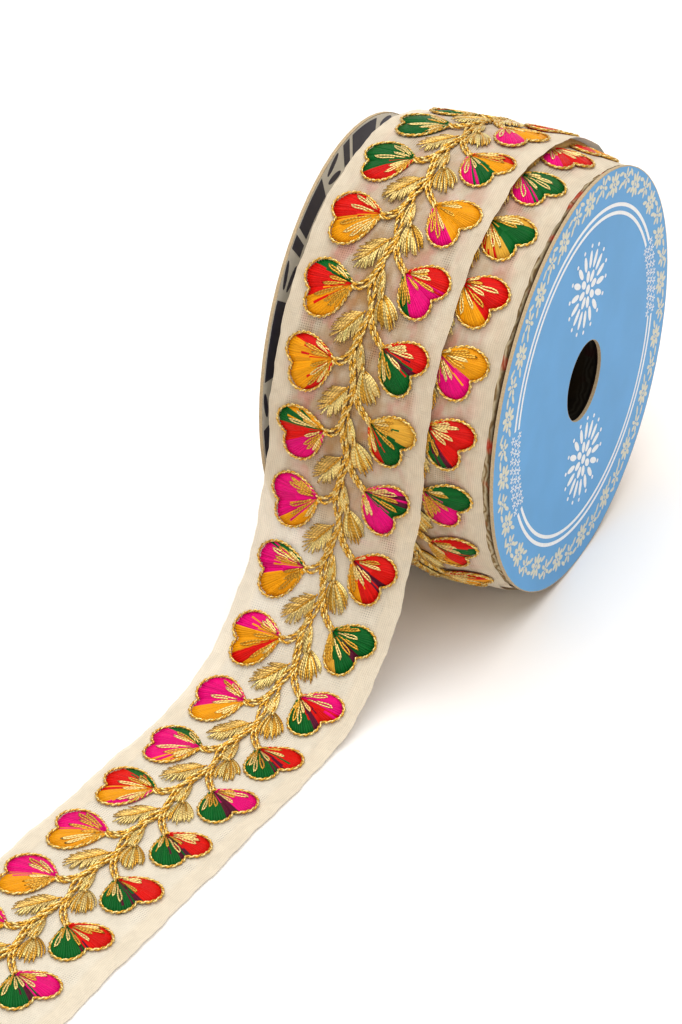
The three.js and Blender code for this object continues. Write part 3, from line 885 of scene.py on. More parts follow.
def right_half(rows):
    """The lace's right edge at each row, with the hem folded as on the roll."""
    return np.full(len(rows), LACE_WIDTH / 2)


def left_half(rows):
    return -right_half(rows)


# Print on the card


FACE_TURN = Matrix(((0, 0, 1, 0), (1, 0, 0, 0), (0, 1, 0, 0), (0, 0, 0, 1)))
INK_LIFT = 0.02
INK_THICKNESS = 0.04
RING_SEGMENTS = 180
LARGE_SPOT_SEGMENTS = 16
FACE_DEPTH = 0.2
PRINT_RISE = 1.3
PRINT_SHIFT = 0.8
# Print of the blue card: rings by radius and width, the sprays of blossoms that break them, in degrees, and
# rosettes by their height from the hole
RINGS = ((51.9, 1.15), (49.4, 1.1))
SPRAYS = (185, 8)
SPRAY_REACH = 17
SPRAY_STEP = 3.6
SPRAY_ROWS = (48.3, 50.6, 52.9)
SPRAY_BLOSSOMS = 9
BLOSSOM_RADIUS = 1.35
BLOSSOM_PETALS = 5
ROSETTES = (30, -30)
ROSETTE_PETALS = 8
ROSETTE_RAYS = 16
# Border: flowers by offset in radians, radius, size, petals and turn, and leaves by offset, radius and lean
BORDER_FLOWERS = ((0.0, 58.5, 4.0, 8, 0.0), (0.15, 59.7, 3.3, 6, 0.3))
BORDER_LEAVES = ((0.08, 56.2, 0.6), (0.09, 61.6, -0.5), (0.215, 57.4, 0.9), (0.23, 61.0, 0.4))
# Print of the back disc: blocks with a fine bare line near one end, in degrees from each block's start
BLOCKS = 10
BLOCK_LINE = (17, 18.5)
BLOCK_END = 22
LEAF_PAIR = 29
LEAF_RADIUS = 60
LEAF_OFFSET = 2.4
# Its band of blocks and the fine line inside it, by radius and width
BAND = (60.2, 7.6)
BAND_LINE = (53.4, 0.8)


def printed_face():
    """Places flat millimetres on the printed disc's outer face."""
    middle = Vector((FACE_X + INK_LIFT, AXIS_Y + PRINT_SHIFT, AXIS_HEIGHT + PRINT_RISE)) * MM
    return Matrix.Translation(middle) @ FACE_TURN @ Matrix.Scale(MM, 4)


def back_inner_face():
    """Places flat millimetres on the back disc's inner face."""
    return (Matrix.Translation(Vector((FACE_X - SPOOL_WIDTH, AXIS_Y, AXIS_HEIGHT)) * MM)
            @ Matrix.Rotation(BACK_DISC_TURN, 4, "Z")
            @ Matrix.Translation(Vector((DISC_THICKNESS + INK_LIFT, 0, 0)) * MM)
            @ FACE_TURN @ Matrix.Scale(MM, 4))


def ink_ring(work, radius, width, gaps=()):
    """A flat ring: two circles bridged, less the gaps that are given by their ends in degrees."""
    edges = []
    for r in (radius - width / 2, radius + width / 2):
        made = bmesh.ops.create_circle(work, cap_ends=False, segments=RING_SEGMENTS, radius=r)["verts"]
        edges += {e for v in made for e in v.link_edges}
    bare = []
    for face in bmesh.ops.bridge_loops(work, edges=edges)["faces"]:
        middle = face.calc_center_median()
        angle = math.degrees(math.atan2(middle.y, middle.x)) % 360
        if any(low < angle < high for low, high in gaps):
            bare.append(face)
    bmesh.ops.delete(work, geom=bare, context="FACES")


def at_polar(radius, angle, centre=(0, 0)):
    return centre[0] + radius * math.cos(angle), centre[1] + radius * math.sin(angle)


def ink_spot(work, centre, half_length, half_width, angle, segments=10):
    """A flat oval, such as a petal or a leaf."""
    place = (Matrix.Translation((*centre, 0)) @ Matrix.Rotation(angle, 4, "Z")
             @ Matrix.Diagonal((half_length, half_width, 1, 1)))
    bmesh.ops.create_circle(work, cap_ends=True, segments=segments, radius=1, matrix=place)


def ink_daisy(work, centre, radius, petals, turn):
    """Petals round an open middle, and a small eye."""
    for k in range(petals):
        angle = turn + FULL_TURN * k / petals
        ink_spot(work, at_polar(0.62 * radius, angle, centre), 0.38 * radius, 0.2 * radius, angle)
    ink_spot(work, centre, 0.16 * radius, 0.16 * radius, 0)


def ink_object(work, name, face, material):
    """Thickens flat ink a little and lays it on its face."""
    bmesh.ops.recalc_face_normals(work, faces=work.faces)
    for ink in work.faces:
        if ink.normal.z < 0:
            ink.normal_flip()
    raised = bmesh.ops.extrude_face_region(work, geom=list(work.faces))["geom"]
    moved = [v for v in raised if isinstance(v, bmesh.types.BMVert)]
    bmesh.ops.translate(work, verts=moved, vec=(0, 0, INK_THICKNESS))
    bmesh.ops.recalc_face_normals(work, faces=work.faces)
    bmesh.ops.transform(work, matrix=face, verts=work.verts)
    mesh = bpy.data.meshes.new(name)
    work.to_mesh(mesh)
    work.free()
    return finished_object(name, mesh, material)


# Embroidery


BAND_SHARES = {"d": 0.45}
SILK = {"p": "pink", "r": "red", "o": "orange", "g": "green", "d": "plum", "y": "gold"}
# How far along from the start of its repeat a motif's last stitch lies
MOTIF_ENDS = {"left_heart": 14.0, "left_leaf": 16.0, "right_heart": 29.0, "right_leaf": 33.0}
# Cords from the vine to the motifs: four control points, then the pitch, spread and phase of the twist.
# Points are along from the motif's tip and across from the vine, the first one across from its sway.
STEMS = (
    ("left_heart", LEFT_HEART, (
        (((-9.5, -0.5), (-4.5, -0.9), (-0.2, -2.6), (-0.2, -6.8)), 3.8, 0.3, 0.0),
        (((-5.5, -0.6), (-1.6, -0.9), (2.4, -3.2), (0.5, -6.8)), 3.8, 0.28, 0.6),
    )),
    ("right_heart", RIGHT_HEART, (
        (((-12.5, 0.6), (-7.5, 1.4), (-3.6, 4.0), (-0.2, 8.2)), 3.6, 0.28, 1.0),
        (((-10.8, 0.6), (-6.4, 0.9), (-2.6, 2.9), (0.4, 7.6)), 3.6, 0.26, 1.7),
    )),
    ("right_leaf", RIGHT_LEAF, (
        (((-9.8, 0.3), (-5.8, 0.9), (-2.2, 1.9), (1.2, 3.8)), 3.2, 0.24, 2.0),
    )),
)
# Sides of a thread's round. One with ends has an even number, which its caps need.
STITCH_SIDES = 4
CORD_SIDES = 6
RIM_SIDES = 5
# Radii of one ply of each kind of cord, as shares of the cord radius that a user sets
STEM_PLY = 1.02
VINE_PLY = 1.08
RIM_PLY = 0.84
RIM_RINGS = 108
RIM_PITCH = 3.2
RIB_RINGS = 18
RIB_PLY = 0.2
STEM_RINGS = 24
STEM_LIFT = 0.42
VINE_STEP = 0.66
VINE_PITCH = 3.8
VINE_SPREAD = 0.3
# Where on a heart's half, from its tip to its cleft, the silk fans out to
SILK_FAN = (0.15, 0.985)
SILK_RINGS = 7
HALF_STEPS = 200
# The range of shades that single threads of one dye have
SILK_SHADES = (0.84, 1.08)
GOLD_SHADES = (0.68, 1.15)
# Long stitches over the silk, in radians from the heart's axis, with the path of one out and back
LONG_STITCH_LEANS = [-0.78, -0.6, -0.4, -0.12, 0.16, 0.42, 0.6, 0.74, 0.88]
LONG_STITCHES = 7
LONG_STITCH_SWING = np.array([0.0, 0.3, -0.3, 0.1, 0.5, 1.0, 1.5, 1.1, 1.6])
LONG_STITCH_REACH = np.array([0.25, 0.45, 0.66, 0.86, 1.0, 0.93, 0.76, 0.6, 0.42])
LONG_STITCH_LIFT = 0.84
LONG_STITCH_RINGS = 12
FINE_STITCHES = 6
# Half width and half height of the stitches over the silk
LONG_STITCH_SIZE = (0.3, 0.2)
FINE_STITCH_SIZE = (0.23, 0.16)
# Half widths of one stitch of a leaf from its root to its tip
FEATHER_STITCH = np.array([0.22, 0.33, 0.38, 0.34, 0.17])
TASSEL_STITCH = np.array([0.19, 0.3, 0.35, 0.37, 0.32, 0.18])


def silk_colour(letter):
    return np.array(getattr(colours(), SILK[letter]))


def ply_tones():
    """The two golds of a two-ply cord: gold, and bright gold on the other ply as a painted glint."""
    return np.array([colours().gold, colours().gold_bright])[:, None, :]


def band_at(bands, place):
    """The letter of the band that lies at a share of the heart's fan, from 0 to 1."""
    ends = np.cumsum([BAND_SHARES.get(letter, 1.0) for letter in bands])
    return bands[min(int(np.searchsorted(ends, np.clip(place, 0, 1) * ends[-1])), len(bands) - 1)]


def add_heart_silk(silk, heart, start, bands, random):
    """Satin strands that fan from the tip. Bands run from the lobe nearer the roll."""
    count = sizes().silk_strands
    upper = math.copysign(1, heart["angle"])
    half = heart_half(heart, HALF_STEPS + 1)
    ends = half[np.rint(np.linspace(*SILK_FAN, count) * HALF_STEPS).astype(int)]
    ends = np.concatenate([ends * (1, -upper), (ends * (1, upper))[::-1]])[::-1]
    swing = np.arctan2(ends[:, 1] * upper, ends[:, 0])
    order = 0.5 - 0.5 * swing / np.abs(swing).max()
    share = np.linspace(0.05, 1, SILK_RINGS)
    reach = 0.98 + 0.015 * random.uniform(-1, 1, len(ends))
    paths = np.zeros((len(ends), len(share), 3))
    paths[..., :2] = ends[:, None, :] * (share * reach[:, None])[..., None]
    paths[..., 2] = -0.25 + 0.95 * np.sin(math.pi * (0.09 + 0.84 * share)) ** 0.75
    spread = 0.1 + 0.62 * share
    spread[-1] *= 0.75
    tints = np.zeros((len(ends), len(share), 3))
    for k, place in enumerate(order):
        jog = place + random.normal(0, 0.03)
        own = band_at(bands, jog)
        other = band_at(bands, jog + random.choice((-0.13, 0.13)))
        turn = random.uniform(0.3, 0.75) if random.random() < 0.4 else 0.0
        dye = random.uniform(*SILK_SHADES)
        for ring, step in enumerate(share):
            tints[k, ring] = silk_colour(other if step < turn else own) * dye
    silk.add(on_motif(paths, heart, start), spread, 0.2, STITCH_SIDES, np.clip(tints, 0, 1))


def add_heart_rim(gold, heart, start, half, random):
    """The twisted cord round a heart, couched down so that its edge is scalloped."""
    loop = along_line(np.concatenate([half, (half * (1, -1))[::-1][1:]]), RIM_RINGS + 1)[:-1]
    around = np.linalg.norm(np.roll(loop, -1, axis=0) - loop, axis=1)
    run = np.concatenate([[0], np.cumsum(around)[:-1]])
    turns = round(around.sum() / RIM_PITCH)
    wind = FULL_TURN * turns * run / around.sum()
    slope = unit(np.roll(loop, -1, axis=0) - np.roll(loop, 1, axis=0))
    outward = np.stack([slope[:, 1], -slope[:, 0]], axis=1)
    wander = 0.12 * np.sin(3 * FULL_TURN * run / around.sum() + random.uniform(0, FULL_TURN))
    scallop = 0.25 * np.abs(np.sin(wind)) - 0.3
    radius = RIM_PLY * sizes().cord_radius
    plies = []
    for ply in (0, math.pi):
        path = np.zeros((len(loop), 3))
        path[:, :2] = loop + outward * (0.19 * np.cos(wind + ply) + scallop + wander)[:, None]
        path[:, 2] = 0.46 + 0.17 * np.sin(wind + ply)
        plies.append(path)
    gold.add(on_motif(plies, heart, start), radius, radius, RIM_SIDES, ply_tones(), closed=True)


def add_heart_gold(gold, heart, start, random):
    """The cord round a heart, and the long gold stitches over its silk."""
    half = heart_half(heart, 121)
    add_heart_rim(gold, heart, start, half, random)
    # Long stitches that come back on themselves, most on the lobe nearer the roll
    upper = math.copysign(1, heart["angle"])
    slant = np.arctan2(half[1:, 1], half[1:, 0])[::-1]
    inside = 0.9 * np.linalg.norm(half[1:], axis=1)[::-1]
    for lean in upper * random.permutation(LONG_STITCH_LEANS)[:LONG_STITCHES]:
        reach = random.uniform(0.44, 0.84) * heart["length"]
        gap = random.uniform(0.05, 0.09)
        swing = lean + gap * LONG_STITCH_SWING
        reach = min(reach, np.interp(np.abs(swing), slant, inside).min())
        far = reach * LONG_STITCH_REACH
        lift = np.full(len(far), LONG_STITCH_LIFT)
        lift[[0, -1]] = 0.55
        line = np.stack([far * np.cos(swing), far * np.sin(swing), lift], axis=-1)
        # Half of the long stitches are bright gold, a painted glint
        tone = colours().gold_bright if random.random() < 0.5 else colours().gold
        path = on_motif(along_line(line, LONG_STITCH_RINGS)[None], heart, start)
        gold.add(path, *LONG_STITCH_SIZE, STITCH_SIDES, tone)
    # Fine stitches side by side along the edge of the other lobe
    for lean in -upper * np.linspace(0.62, 0.98, FINE_STITCHES):
        edge = random.uniform(0.3, 0.62) * heart["length"]
        far = np.linspace(random.uniform(0.02, 0.2), 1, 6) * edge
        lift = 0.5 + 0.25 * np.sin(far / edge * 2.6)
        line = np.stack([far * math.cos(lean), far * math.sin(lean), lift], axis=-1)
        gold.add(on_motif(line[None], heart, start), *FINE_STITCH_SIZE, STITCH_SIDES, colours().gold)


def add_feather(gold, leaf, start, random):
    """An oval leaf of slanting gold stitches on both sides of a rib, with a ragged edge."""
    length, count = leaf["length"], sizes().leaf_stitches
    share = np.linspace(0, 1, len(FEATHER_STITCH))
    paths, tints = [], []
    # The stitches on one side of the rib are painted lighter than those on the other: painted highlight and
    # shade of their opposite slants
    shaded_side_gold = (np.array(colours().gold) + np.array(colours().gold_bright)) / 2
    for side, tone in ((-1, shaded_side_gold), (1, colours().gold_bright)):
        for k in range(count):
            base = length * (0.02 + 0.66 * k / count)
            end = base + length * (0.26 + 0.1 * k / count) + random.uniform(-0.5, 0.5)
            wide = leaf["half_width"] * max(0.02, 1 - ((end / length - 0.54) / 0.48) ** 2) ** 0.5
            line = np.zeros((len(share), 3))
            line[:, 0] = base + (end - base) * share
            line[:, 1] = side * (0.1 + wide * random.uniform(0.82, 1.12) * share ** 1.15)
            line[:, 2] = 0.1 + 0.55 * np.sin(math.pi * (0.15 + 0.72 * share)) + random.uniform(-0.06, 0.06)
            paths.append(line)
            tints.append(np.array(tone) * random.uniform(*GOLD_SHADES))
    tints = np.clip(np.array(tints), 0, 1)[:, None, :]
    gold.add(on_motif(paths, leaf, start), FEATHER_STITCH, 0.7 * FEATHER_STITCH, STITCH_SIDES, tints)
    run = np.linspace(-0.6, 0.66 * length, RIB_RINGS)
    rib = np.stack([run, np.zeros_like(run), np.full_like(run, 0.5)], axis=-1)
    cord = on_motif(twisted(rib, pitch=3.0, spread=0.16), leaf, start)
    gold.add(cord, RIB_PLY, RIB_PLY, CORD_SIDES, colours().gold)


def add_tassel(gold, leaf, start, random, stitches=21, bright=0.6):
    """A leaf of long gold stitches that fan out from its stem to a ragged end, a share of them bright gold:
    a paler thread on the pale leaf, a painted glint on the others.
    """
    length = leaf["length"]
    share = np.linspace(0, 1, len(TASSEL_STITCH))
    paths, tints = [], []
    for lean in np.linspace(-1, 1, stitches):
        base = length * (0.04 + 0.3 * (1 - abs(lean)) * random.uniform(0.1, 1))
        end = length * (1 - 0.26 * lean ** 2) * random.uniform(0.8, 1.06)
        line = np.zeros((len(share), 3))
        line[:, 0] = base + (end - base) * share
        wide = leaf["half_width"] * np.sin(math.pi * (0.06 + 0.46 * share))
        line[:, 1] = lean * wide + random.uniform(-0.2, 0.2)
        line[:, 2] = 0.15 + 0.5 * np.sin(math.pi * (0.12 + 0.74 * share)) * (1 - 0.4 * abs(lean))
        paths.append(line)
        tone = colours().gold_bright if random.random() < bright else colours().gold
        tints.append(np.array(tone) * random.uniform(*GOLD_SHADES))
    tints = np.clip(np.array(tints), 0, 1)[:, None, :]
    gold.add(on_motif(paths, leaf, start), TASSEL_STITCH, 0.75 * TASSEL_STITCH, STITCH_SIDES, tints)


def add_stems(gold, start, shown):
    """Cords that part slowly from the vine: two to each heart's tip, and one to the right leaf."""
    radius = STEM_PLY * sizes().cord_radius
    for name, motif, cords in STEMS:
        if name not in shown:
            continue
        for points, pitch, spread, phase in cords:
            points = np.array(points) + (start + motif["along"], 0)
            points[0, 1] += vine_sway(points[0, 0])
            line = np.full((STEM_RINGS, 3), STEM_LIFT)
            line[:, :2] = bezier(points, np.linspace(0, 1, STEM_RINGS))
            gold.add(twisted(line, pitch, spread, phase), radius, radius, CORD_SIDES, ply_tones())


def add_vine(gold, low, high):
    """The vine: two gold cords that cross over each other, swaying once each repeat."""
    along = evenly(low, high, VINE_STEP)
    radius = VINE_PLY * sizes().cord_radius
    beat = FULL_TURN * along / REPEAT
    for side in (-1, 1):
        across = vine_sway(along) + side * (0.72 * np.cos(beat) + 0.2 * np.sin(2.3 * beat))
        lift = 0.5 + 0.16 * side * np.sin(beat)
        line = np.stack([along, across, lift], axis=-1)
        gold.add(twisted(line, VINE_PITCH, VINE_SPREAD, side), radius, radius, CORD_SIDES, ply_tones())


def add_repeat(silk, gold, start, bands, shown, random):
    """The motifs of one repeat that are named in shown."""
    for name, heart in (("left_heart", LEFT_HEART), ("right_heart", RIGHT_HEART)):
        if name in shown:
            add_heart_silk(silk, heart, start, bands[name], random)
            add_heart_gold(gold, heart, start, random)
    if "left_leaf" in shown:
        add_feather(gold, LEFT_LEAF, start, random)
    if "right_leaf" in shown:
        add_tassel(gold, RIGHT_LEAF, start, random)
        add_tassel(gold, PALE_LEAF, start, random, stitches=10, bright=0.9)
    add_stems(gold, start, shown)


def thread_pieces(stretch, silk, gold):
    """The two pieces of thread on one stretch of lace."""
    return [silk.object(f"{stretch}_silk", bpy.data.materials["satin_rayon_silk"]),
            gold.object(f"{stretch}_gold", bpy.data.materials["zari_gold_thread"])]


def embroidered(stretch, low, high, seed):
    """Silk and gold of one stretch of lace, for the motifs that end between low and high."""
    random = np.random.default_rng(seed)
    silk, gold = Threads(on_lace), Threads(on_lace)
    first = math.floor((low - FIRST_REPEAT) / REPEAT) - 2
    for repeat in range(first, math.ceil((high - FIRST_REPEAT) / REPEAT) + 1):
        start = FIRST_REPEAT + repeat * REPEAT
        shown = {name for name, end in MOTIF_ENDS.items() if low < start + end <= high}
        other = OTHER_HEARTS[repeat % len(OTHER_HEARTS)]
        bands = {"left_heart": LEFT_HEARTS.get(repeat, other),
                 "right_heart": RIGHT_HEARTS.get(repeat, other[::-1])}
        add_repeat(silk, gold, start, bands, shown, random)
    add_vine(gold, low, high)
    return thread_pieces(stretch, silk, gold)


def under_heart_hidden(angle):
    """Whether the last turn covers the right heart at an angle of the turn below, or the floor hides it."""
    if math.sin(angle - 0.1) < UNDER_HIDDEN_SINE:
        return True
    edge = last_turn_centre(angle - LEAVE_ANGLE) + LACE_WIDTH / 2
    return angle > LEAVE_ANGLE and edge > UNDER_CENTRE + RIGHT_HEART["across"] + RIGHT_HEART["half_width"]


# Stage


FLOOR_SIZE = 40
FLOOR_DROP = 0.2
PAPER_WHITE = linear("FDFCFB")
WARM_LIGHT = linear("FFEFDC")
WORLD_STRENGTH = 0.31
# Lamps by name, the direction that they stand in, strength and breadth in degrees
LAMPS = (
    ("key", (0.0, -0.1, 1.0), 2.3, 65),
    ("fill", (0.35, -1.0, 0.6), 0.5, 80),
    ("back", (-0.3, 1.0, 0.8), 1.1, 90),
)
# Camera in the route's millimetres, with its heading, its look down and its roll in degrees
CAMERA_PLACE = (309.12, -744.94, 591.21)
CAMERA_HEADING = 27.743
CAMERA_DOWN = 35.443
CAMERA_ROLL = -1.486
CAMERA_LENS = 113.62
CAMERA_SENSOR = 36


def white_floor():
    """A wide sheet of matt white paper under the part."""
    work = bmesh.new()
    bmesh.ops.create_grid(work, x_segments=1, y_segments=1, size=FLOOR_SIZE)
    bmesh.ops.translate(work, verts=work.verts, vec=(0, 0, -FLOOR_DROP * MM))
    mesh = bpy.data.meshes.new("floor")
    work.to_mesh(mesh)
    work.free()
    material, tree, shader = new_material("white_paper_floor")
    set_inputs(tree, shader, {
        "Base Color": (*PAPER_WHITE, 1), "Roughness": 0.9, "Specular IOR Level": 0.1})
    mesh.materials.append(material)
    floor = bpy.data.objects.new("floor", mesh)
    bpy.context.scene.collection.objects.link(floor)
    return floor


def studio_world():
    """Soft warm light from all round, and plain white where the surroundings are seen past the floor."""
    world = bpy.data.worlds.new("soft_studio")
    world.use_nodes = True
    tree = world.node_tree
    seen = add_node(tree, "ShaderNodeLightPath").outputs["Is Camera Ray"]
    tone = add_node(
        tree, "ShaderNodeMix", {0: seen, MIX_A: (*WARM_LIGHT, 1), MIX_B: (1, 1, 1, 1)}, data_type="RGBA")
    strength = add_node(
        tree, "ShaderNodeMapRange", {"Value": seen, "To Min": WORLD_STRENGTH, "To Max": 1.0})
    set_inputs(tree, tree.nodes["Background"], {"Color": tone, "Strength": strength})
    return world


# Operators


class LACEROLL_OT_materials(bpy.types.Operator):
    """Make the materials that several pieces share"""

    bl_idname = "lace_roll.materials"
    bl_label = "Shared Materials"

    def execute(self, context):
        silk_material()
        gold_material()
        net_material()
        buried_material()
        return {"FINISHED"}


class LACEROLL_OT_printed_disc(bpy.types.Operator):
    """Dress the printed disc: blue card, white rings and a border of cream flowers"""

    bl_idname = "lace_roll.printed_disc"
    bl_label = "Printed Disc"

    def execute(self, context):
        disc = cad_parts["front_disc"]
        disc.data.materials.clear()
        card = card_material("blue_printed_card", colours().card_blue, FACE_X - FACE_DEPTH)
        disc.data.materials.append(card)
        white = bmesh.new()
        gaps = [(spray - SPRAY_REACH, spray + SPRAY_REACH) for spray in SPRAYS]
        # The second spray reaches back past 0 degrees
        gaps.append((360 + SPRAYS[1] - SPRAY_REACH, 360))
        for radius, width in RINGS:
            ink_ring(white, radius, width, gaps)
        for spray in SPRAYS:
            for row, radius in enumerate(SPRAY_ROWS):
                for k in range(SPRAY_BLOSSOMS - row % 2):
                    place = k - SPRAY_BLOSSOMS // 2 + row % 2 / 2
                    angle = math.radians(spray + SPRAY_STEP * place)
                    ink_daisy(white, at_polar(radius, angle), BLOSSOM_RADIUS, BLOSSOM_PETALS, angle + k)
        for up in ROSETTES:
            ink_spot(white, (0, up), 1.5, 1.5, 0, LARGE_SPOT_SEGMENTS)
            for k in range(ROSETTE_PETALS):
                angle = FULL_TURN * k / ROSETTE_PETALS
                ink_spot(white, at_polar(4.3, angle, (0, up)), 1.9, 1.2, angle, LARGE_SPOT_SEGMENTS)
            for k in range(ROSETTE_RAYS):
                angle = FULL_TURN * (k + 0.5) / ROSETTE_RAYS
                ink_spot(white, at_polar(9.4, angle, (0, up)), 2.8, 1.0, angle, LARGE_SPOT_SEGMENTS)
                ink_spot(white, at_polar(13.6, angle, (0, up)), 0.65, 0.65, 0)
        ink = ink_material("white_ink", colours().ink_white)
        rings = ink_object(white, "printed_rings", printed_face(), ink)
        cream = bmesh.new()
        count = sizes().border_flowers
        for k in range(count):
            angle = FULL_TURN * k / count
            for offset, radius, size, petals, turn in BORDER_FLOWERS:
                ink_daisy(cream, at_polar(radius, angle + offset), size, petals, angle + turn)
            for offset, radius, lean in BORDER_LEAVES:
                ink_spot(cream, at_polar(radius, angle + offset), 1.7, 0.62, angle + math.pi / 2 + lean)
        ink = ink_material("cream_ink", colours().ink_cream)
        flowers = ink_object(cream, "printed_flowers", printed_face(), ink)
        return {"FINISHED"}


class LACEROLL_OT_back_disc(bpy.types.Operator):
    """Dress the back disc: cream paper with a navy band of blocks and leaves on its inner side"""

    bl_idname = "lace_roll.back_disc"
    bl_label = "Back Disc"

    def execute(self, context):
        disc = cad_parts["back_disc"]
        disc.data.materials.clear()
        card = card_material("cream_printed_card", colours().card_cream, FACE_X)
        disc.data.materials.append(card)
        navy = bmesh.new()
        step = 360 / BLOCKS
        gaps = []
        for k in range(BLOCKS):
            first = step * k
            gaps += [(first + BLOCK_LINE[0], first + BLOCK_LINE[1]), (first + BLOCK_END, first + step)]
            # A pair of leaves between two blocks
            angle = math.radians(first + LEAF_PAIR)
            for side in (-1, 1):
                middle = at_polar(LEAF_RADIUS + LEAF_OFFSET * side, angle)
                lean = angle + math.pi / 2 + 0.25 * side
                ink_spot(navy, middle, 4.4, 1.2, lean, LARGE_SPOT_SEGMENTS)
        ink_ring(navy, *BAND, gaps)
        ink_ring(navy, *BAND_LINE)
        ink = ink_material("navy_ink", colours().ink_navy)
        shapes = ink_object(navy, "back_disc_print", back_inner_face(), ink)
        return {"FINISHED"}


class LACEROLL_OT_buried_turns(bpy.types.Operator):
    """Make the wound pack below the two outer turns"""

    bl_idname = "lace_roll.buried_turns"
    bl_label = "Buried Turns"

    def execute(self, context):
        work = bmesh.new()
        layer = work.verts.layers.float_vector.new("lace_place")
        profile = [(BORE_RADIUS, PACK_RIGHT), (BORE_RADIUS, -SPOOL_WIDTH), (BURIED_RADIUS, -SPOOL_WIDTH),
                   (BURIED_RADIUS, PACK_LEFT)]
        for x in np.linspace(PACK_LEFT, PACK_RIGHT, PACK_COLUMNS):
            share = (x - PACK_MIDDLE) / PACK_CROWN_REACH
            profile.append((PACK_RADIUS - PACK_CROWN * share ** 2, x))
        verts = [work.verts.new((x, -radius, AXIS_HEIGHT)) for radius, x in profile]
        edges = [work.edges.new(pair) for pair in zip(verts, verts[1:] + verts[:1])]
        bmesh.ops.spin(work, geom=verts + edges, cent=(0, 0, AXIS_HEIGHT), axis=(1, 0, 0), angle=FULL_TURN,
                       steps=PACK_STEPS, use_merge=True)
        bmesh.ops.recalc_face_normals(work, faces=work.faces)
        # The pack's left side lies by the back disc, which is turned a little
        tilt = math.tan(BACK_DISC_TURN)
        for vert in work.verts:
            x, y, z = vert.co
            inner = -SPOOL_WIDTH + DISC_THICKNESS / math.cos(BACK_DISC_TURN) - y * tilt
            radius = math.hypot(y, z - AXIS_HEIGHT)
            angle = math.atan2(z - AXIS_HEIGHT, -y)
            vert[layer] = (-angle * radius, x - LEAVE_CENTRE - PACK_PATTERN_SHIFT, 0)
            vert.co = in_row_frame([max(x, inner + PACK_DISC_GAP), y, z])
        rows = evenly(UNDER_END - UNDER_LENGTH, UNDER_END, LAYER_STEP)
        bend_grid(work, rows, on_under_turn, layer_heights(left_half, right_half))
        rows = evenly(-LAST_STACK_SHARE * FULL_TURN * LAY_RADIUS, 0, LAYER_STEP)
        stack = layer_heights(lambda s: left_half(s) + 0.5, lambda s: right_half(s) - 1.5)
        bend_grid(work, rows, on_lace, stack)
        pack = cloth_object(work, "buried_turns", bpy.data.materials["wound_net_layers"])
        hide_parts("wound_lace")
        return {"FINISHED"}


class LACEROLL_OT_under_turn(bpy.types.Operator):
    """Make the turn below the last: its net, and the embroidery that shows beside the last turn"""

    bl_idname = "lace_roll.under_turn"
    bl_label = "Turn Below"

    def execute(self, context):
        heights = net_heights(left_half, lambda s: right_half(s) - 0.3, seed=0.4, stand=0.5)
        rows = evenly(UNDER_END - UNDER_LENGTH, UNDER_END, NET_STEP)
        net = net_object("under_turn", rows, on_under_turn, heights)
        random = np.random.default_rng(11)
        silk, gold = Threads(on_under_turn), Threads(on_under_turn)
        pitch = UNDER_LENGTH / UNDER_REPEATS
        for repeat in range(UNDER_BARE_REPEATS - UNDER_REPEATS, UNDER_BARE_REPEATS):
            start = repeat * pitch - RIGHT_HEART["along"]
            if under_heart_hidden(UNDER_FIRST_HEART - repeat * pitch / UNDER_RADIUS):
                continue
            other = OTHER_HEARTS[repeat % len(OTHER_HEARTS)]
            bands = {"left_heart": other, "right_heart": UNDER_HEARTS.get(repeat, other)}
            # The left motifs show only below the place where the loose end leaves the roll
            shown = {"right_heart", "right_leaf"}
            if repeat > 1:
                shown |= {"left_heart", "left_leaf"}
            add_repeat(silk, gold, start, bands, shown, random)
        add_vine(gold, -0.5 * pitch, (UNDER_BARE_REPEATS + 0.4) * pitch)
        thread_pieces("under_turn", silk, gold)
        return {"FINISHED"}


class LACEROLL_OT_last_turn(bpy.types.Operator):
    """Make the last turn on the roll: its net and its embroidery"""

    bl_idname = "lace_roll.last_turn"
    bl_label = "Last Turn"

    def execute(self, context):
        length = LAST_NET_SHARE * FULL_TURN * LAY_RADIUS
        heights = net_heights(left_half, right_half, seed=1.9, stand=0.35)
        net = net_object("last_turn", evenly(-length, 0, NET_STEP), on_lace, heights)
        threads = embroidered("last_turn", -TUCK_FROM * LAY_RADIUS, MOTIF_ENDS["left_heart"], seed=5)
        return {"FINISHED"}


class LACEROLL_OT_loose_end(bpy.types.Operator):
    """Make the loose end that falls from the roll: its net and its embroidery"""

    bl_idname = "lace_roll.loose_end"
    bl_label = "Loose End"

    def execute(self, context):
        heights = net_heights(left_half, right_edge, seed=3.1, stand=0.15)
        net = net_object("loose_end", evenly(0, TAIL_LENGTH, TAIL_STEP), on_lace, heights)
        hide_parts("lace_tail")
        threads = embroidered("loose_end", MOTIF_ENDS["left_heart"], TAIL_LENGTH, seed=8)
        return {"FINISHED"}


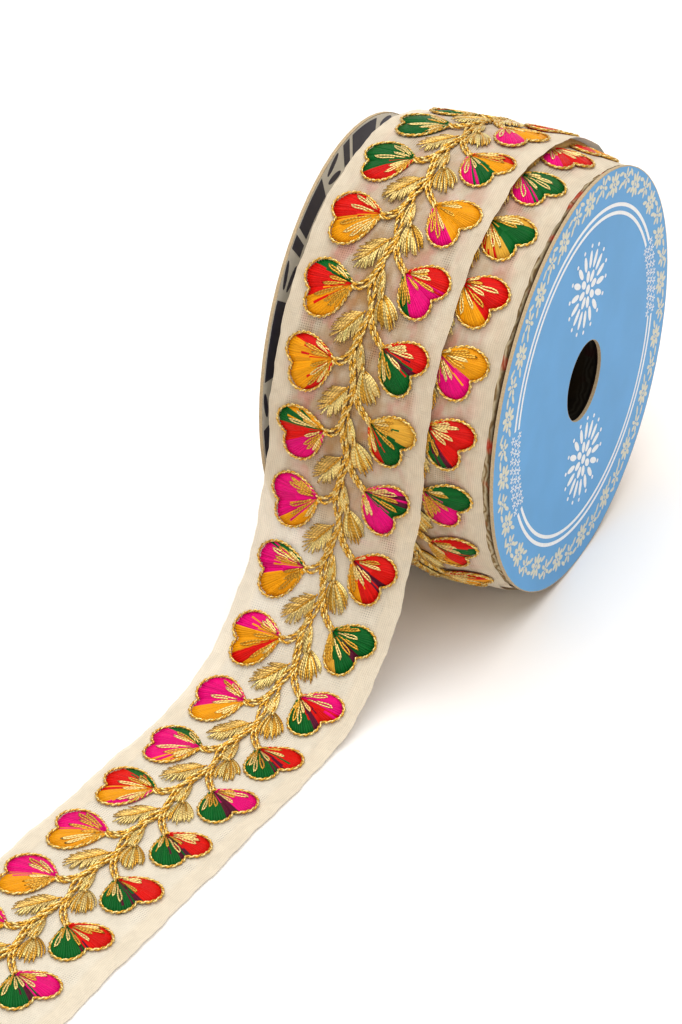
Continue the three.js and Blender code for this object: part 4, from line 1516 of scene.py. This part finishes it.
class LACEROLL_OT_stage(bpy.types.Operator):
    """Set the pale floor, the soft lights and the camera"""

    bl_idname = "lace_roll.stage"
    bl_label = "Stage"

    def execute(self, context):
        scene = context.scene
        floor = white_floor()
        scene.world = studio_world()
        for name, place, strength, breadth in LAMPS:
            light = bpy.data.lights.new(name, "SUN")
            light.energy = strength
            light.angle = math.radians(breadth)
            lamp = bpy.data.objects.new(name, light)
            lamp.rotation_euler = (-Vector(place)).to_track_quat("-Z", "Y").to_euler()
            scene.collection.objects.link(lamp)
        camera = bpy.data.cameras.new("camera")
        camera.sensor_width = CAMERA_SENSOR
        camera.lens = CAMERA_LENS
        eye = bpy.data.objects.new("camera", camera)
        place = (Vector(CAMERA_PLACE) + Vector((FACE_X, AXIS_Y, 0))) * MM
        eye.matrix_world = (Matrix.Translation(place)
                            @ Matrix.Rotation(math.radians(CAMERA_HEADING), 4, "Z")
                            @ Matrix.Rotation(math.radians(90 - CAMERA_DOWN), 4, "X")
                            @ Matrix.Rotation(math.radians(CAMERA_ROLL), 4, "Z"))
        scene.collection.objects.link(eye)
        scene.camera = eye
        scene.view_settings.view_transform = "Standard"
        return {"FINISHED"}


class LACEROLL_PT_panel(bpy.types.Panel):
    """Sizes and colours, and the steps in their order"""

    bl_label = "Lace Roll"
    bl_idname = "LACEROLL_PT_panel"
    bl_space_type = "VIEW_3D"
    bl_region_type = "UI"
    bl_category = "Lace Roll"

    def draw(self, context):
        for group in (context.scene.lace_roll_sizes, context.scene.lace_roll_colours):
            box = self.layout.box()
            for name in group.__annotations__:
                box.prop(group, name)
        for operator in OPERATORS:
            self.layout.operator(operator.bl_idname)


OPERATORS = (
    LACEROLL_OT_materials,
    LACEROLL_OT_printed_disc,
    LACEROLL_OT_back_disc,
    LACEROLL_OT_buried_turns,
    LACEROLL_OT_under_turn,
    LACEROLL_OT_last_turn,
    LACEROLL_OT_loose_end,
    LACEROLL_OT_stage,
)
CLASSES = (LaceRollSizes, LaceRollColours, *OPERATORS, LACEROLL_PT_panel)


def register():
    for made in CLASSES:
        bpy.utils.register_class(made)
    bpy.types.Scene.lace_roll_sizes = bpy.props.PointerProperty(type=LaceRollSizes)
    bpy.types.Scene.lace_roll_colours = bpy.props.PointerProperty(type=LaceRollColours)


def unregister():
    del bpy.types.Scene.lace_roll_colours
    del bpy.types.Scene.lace_roll_sizes
    for made in reversed(CLASSES):
        bpy.utils.unregister_class(made)


def main():
    register()
    bpy.ops.lace_roll.materials()
    bpy.ops.lace_roll.printed_disc()
    bpy.ops.lace_roll.back_disc()
    bpy.ops.lace_roll.buried_turns()
    bpy.ops.lace_roll.under_turn()
    bpy.ops.lace_roll.last_turn()
    bpy.ops.lace_roll.loose_end()
    bpy.ops.lace_roll.stage()


if __name__ == "__main__":
    main()
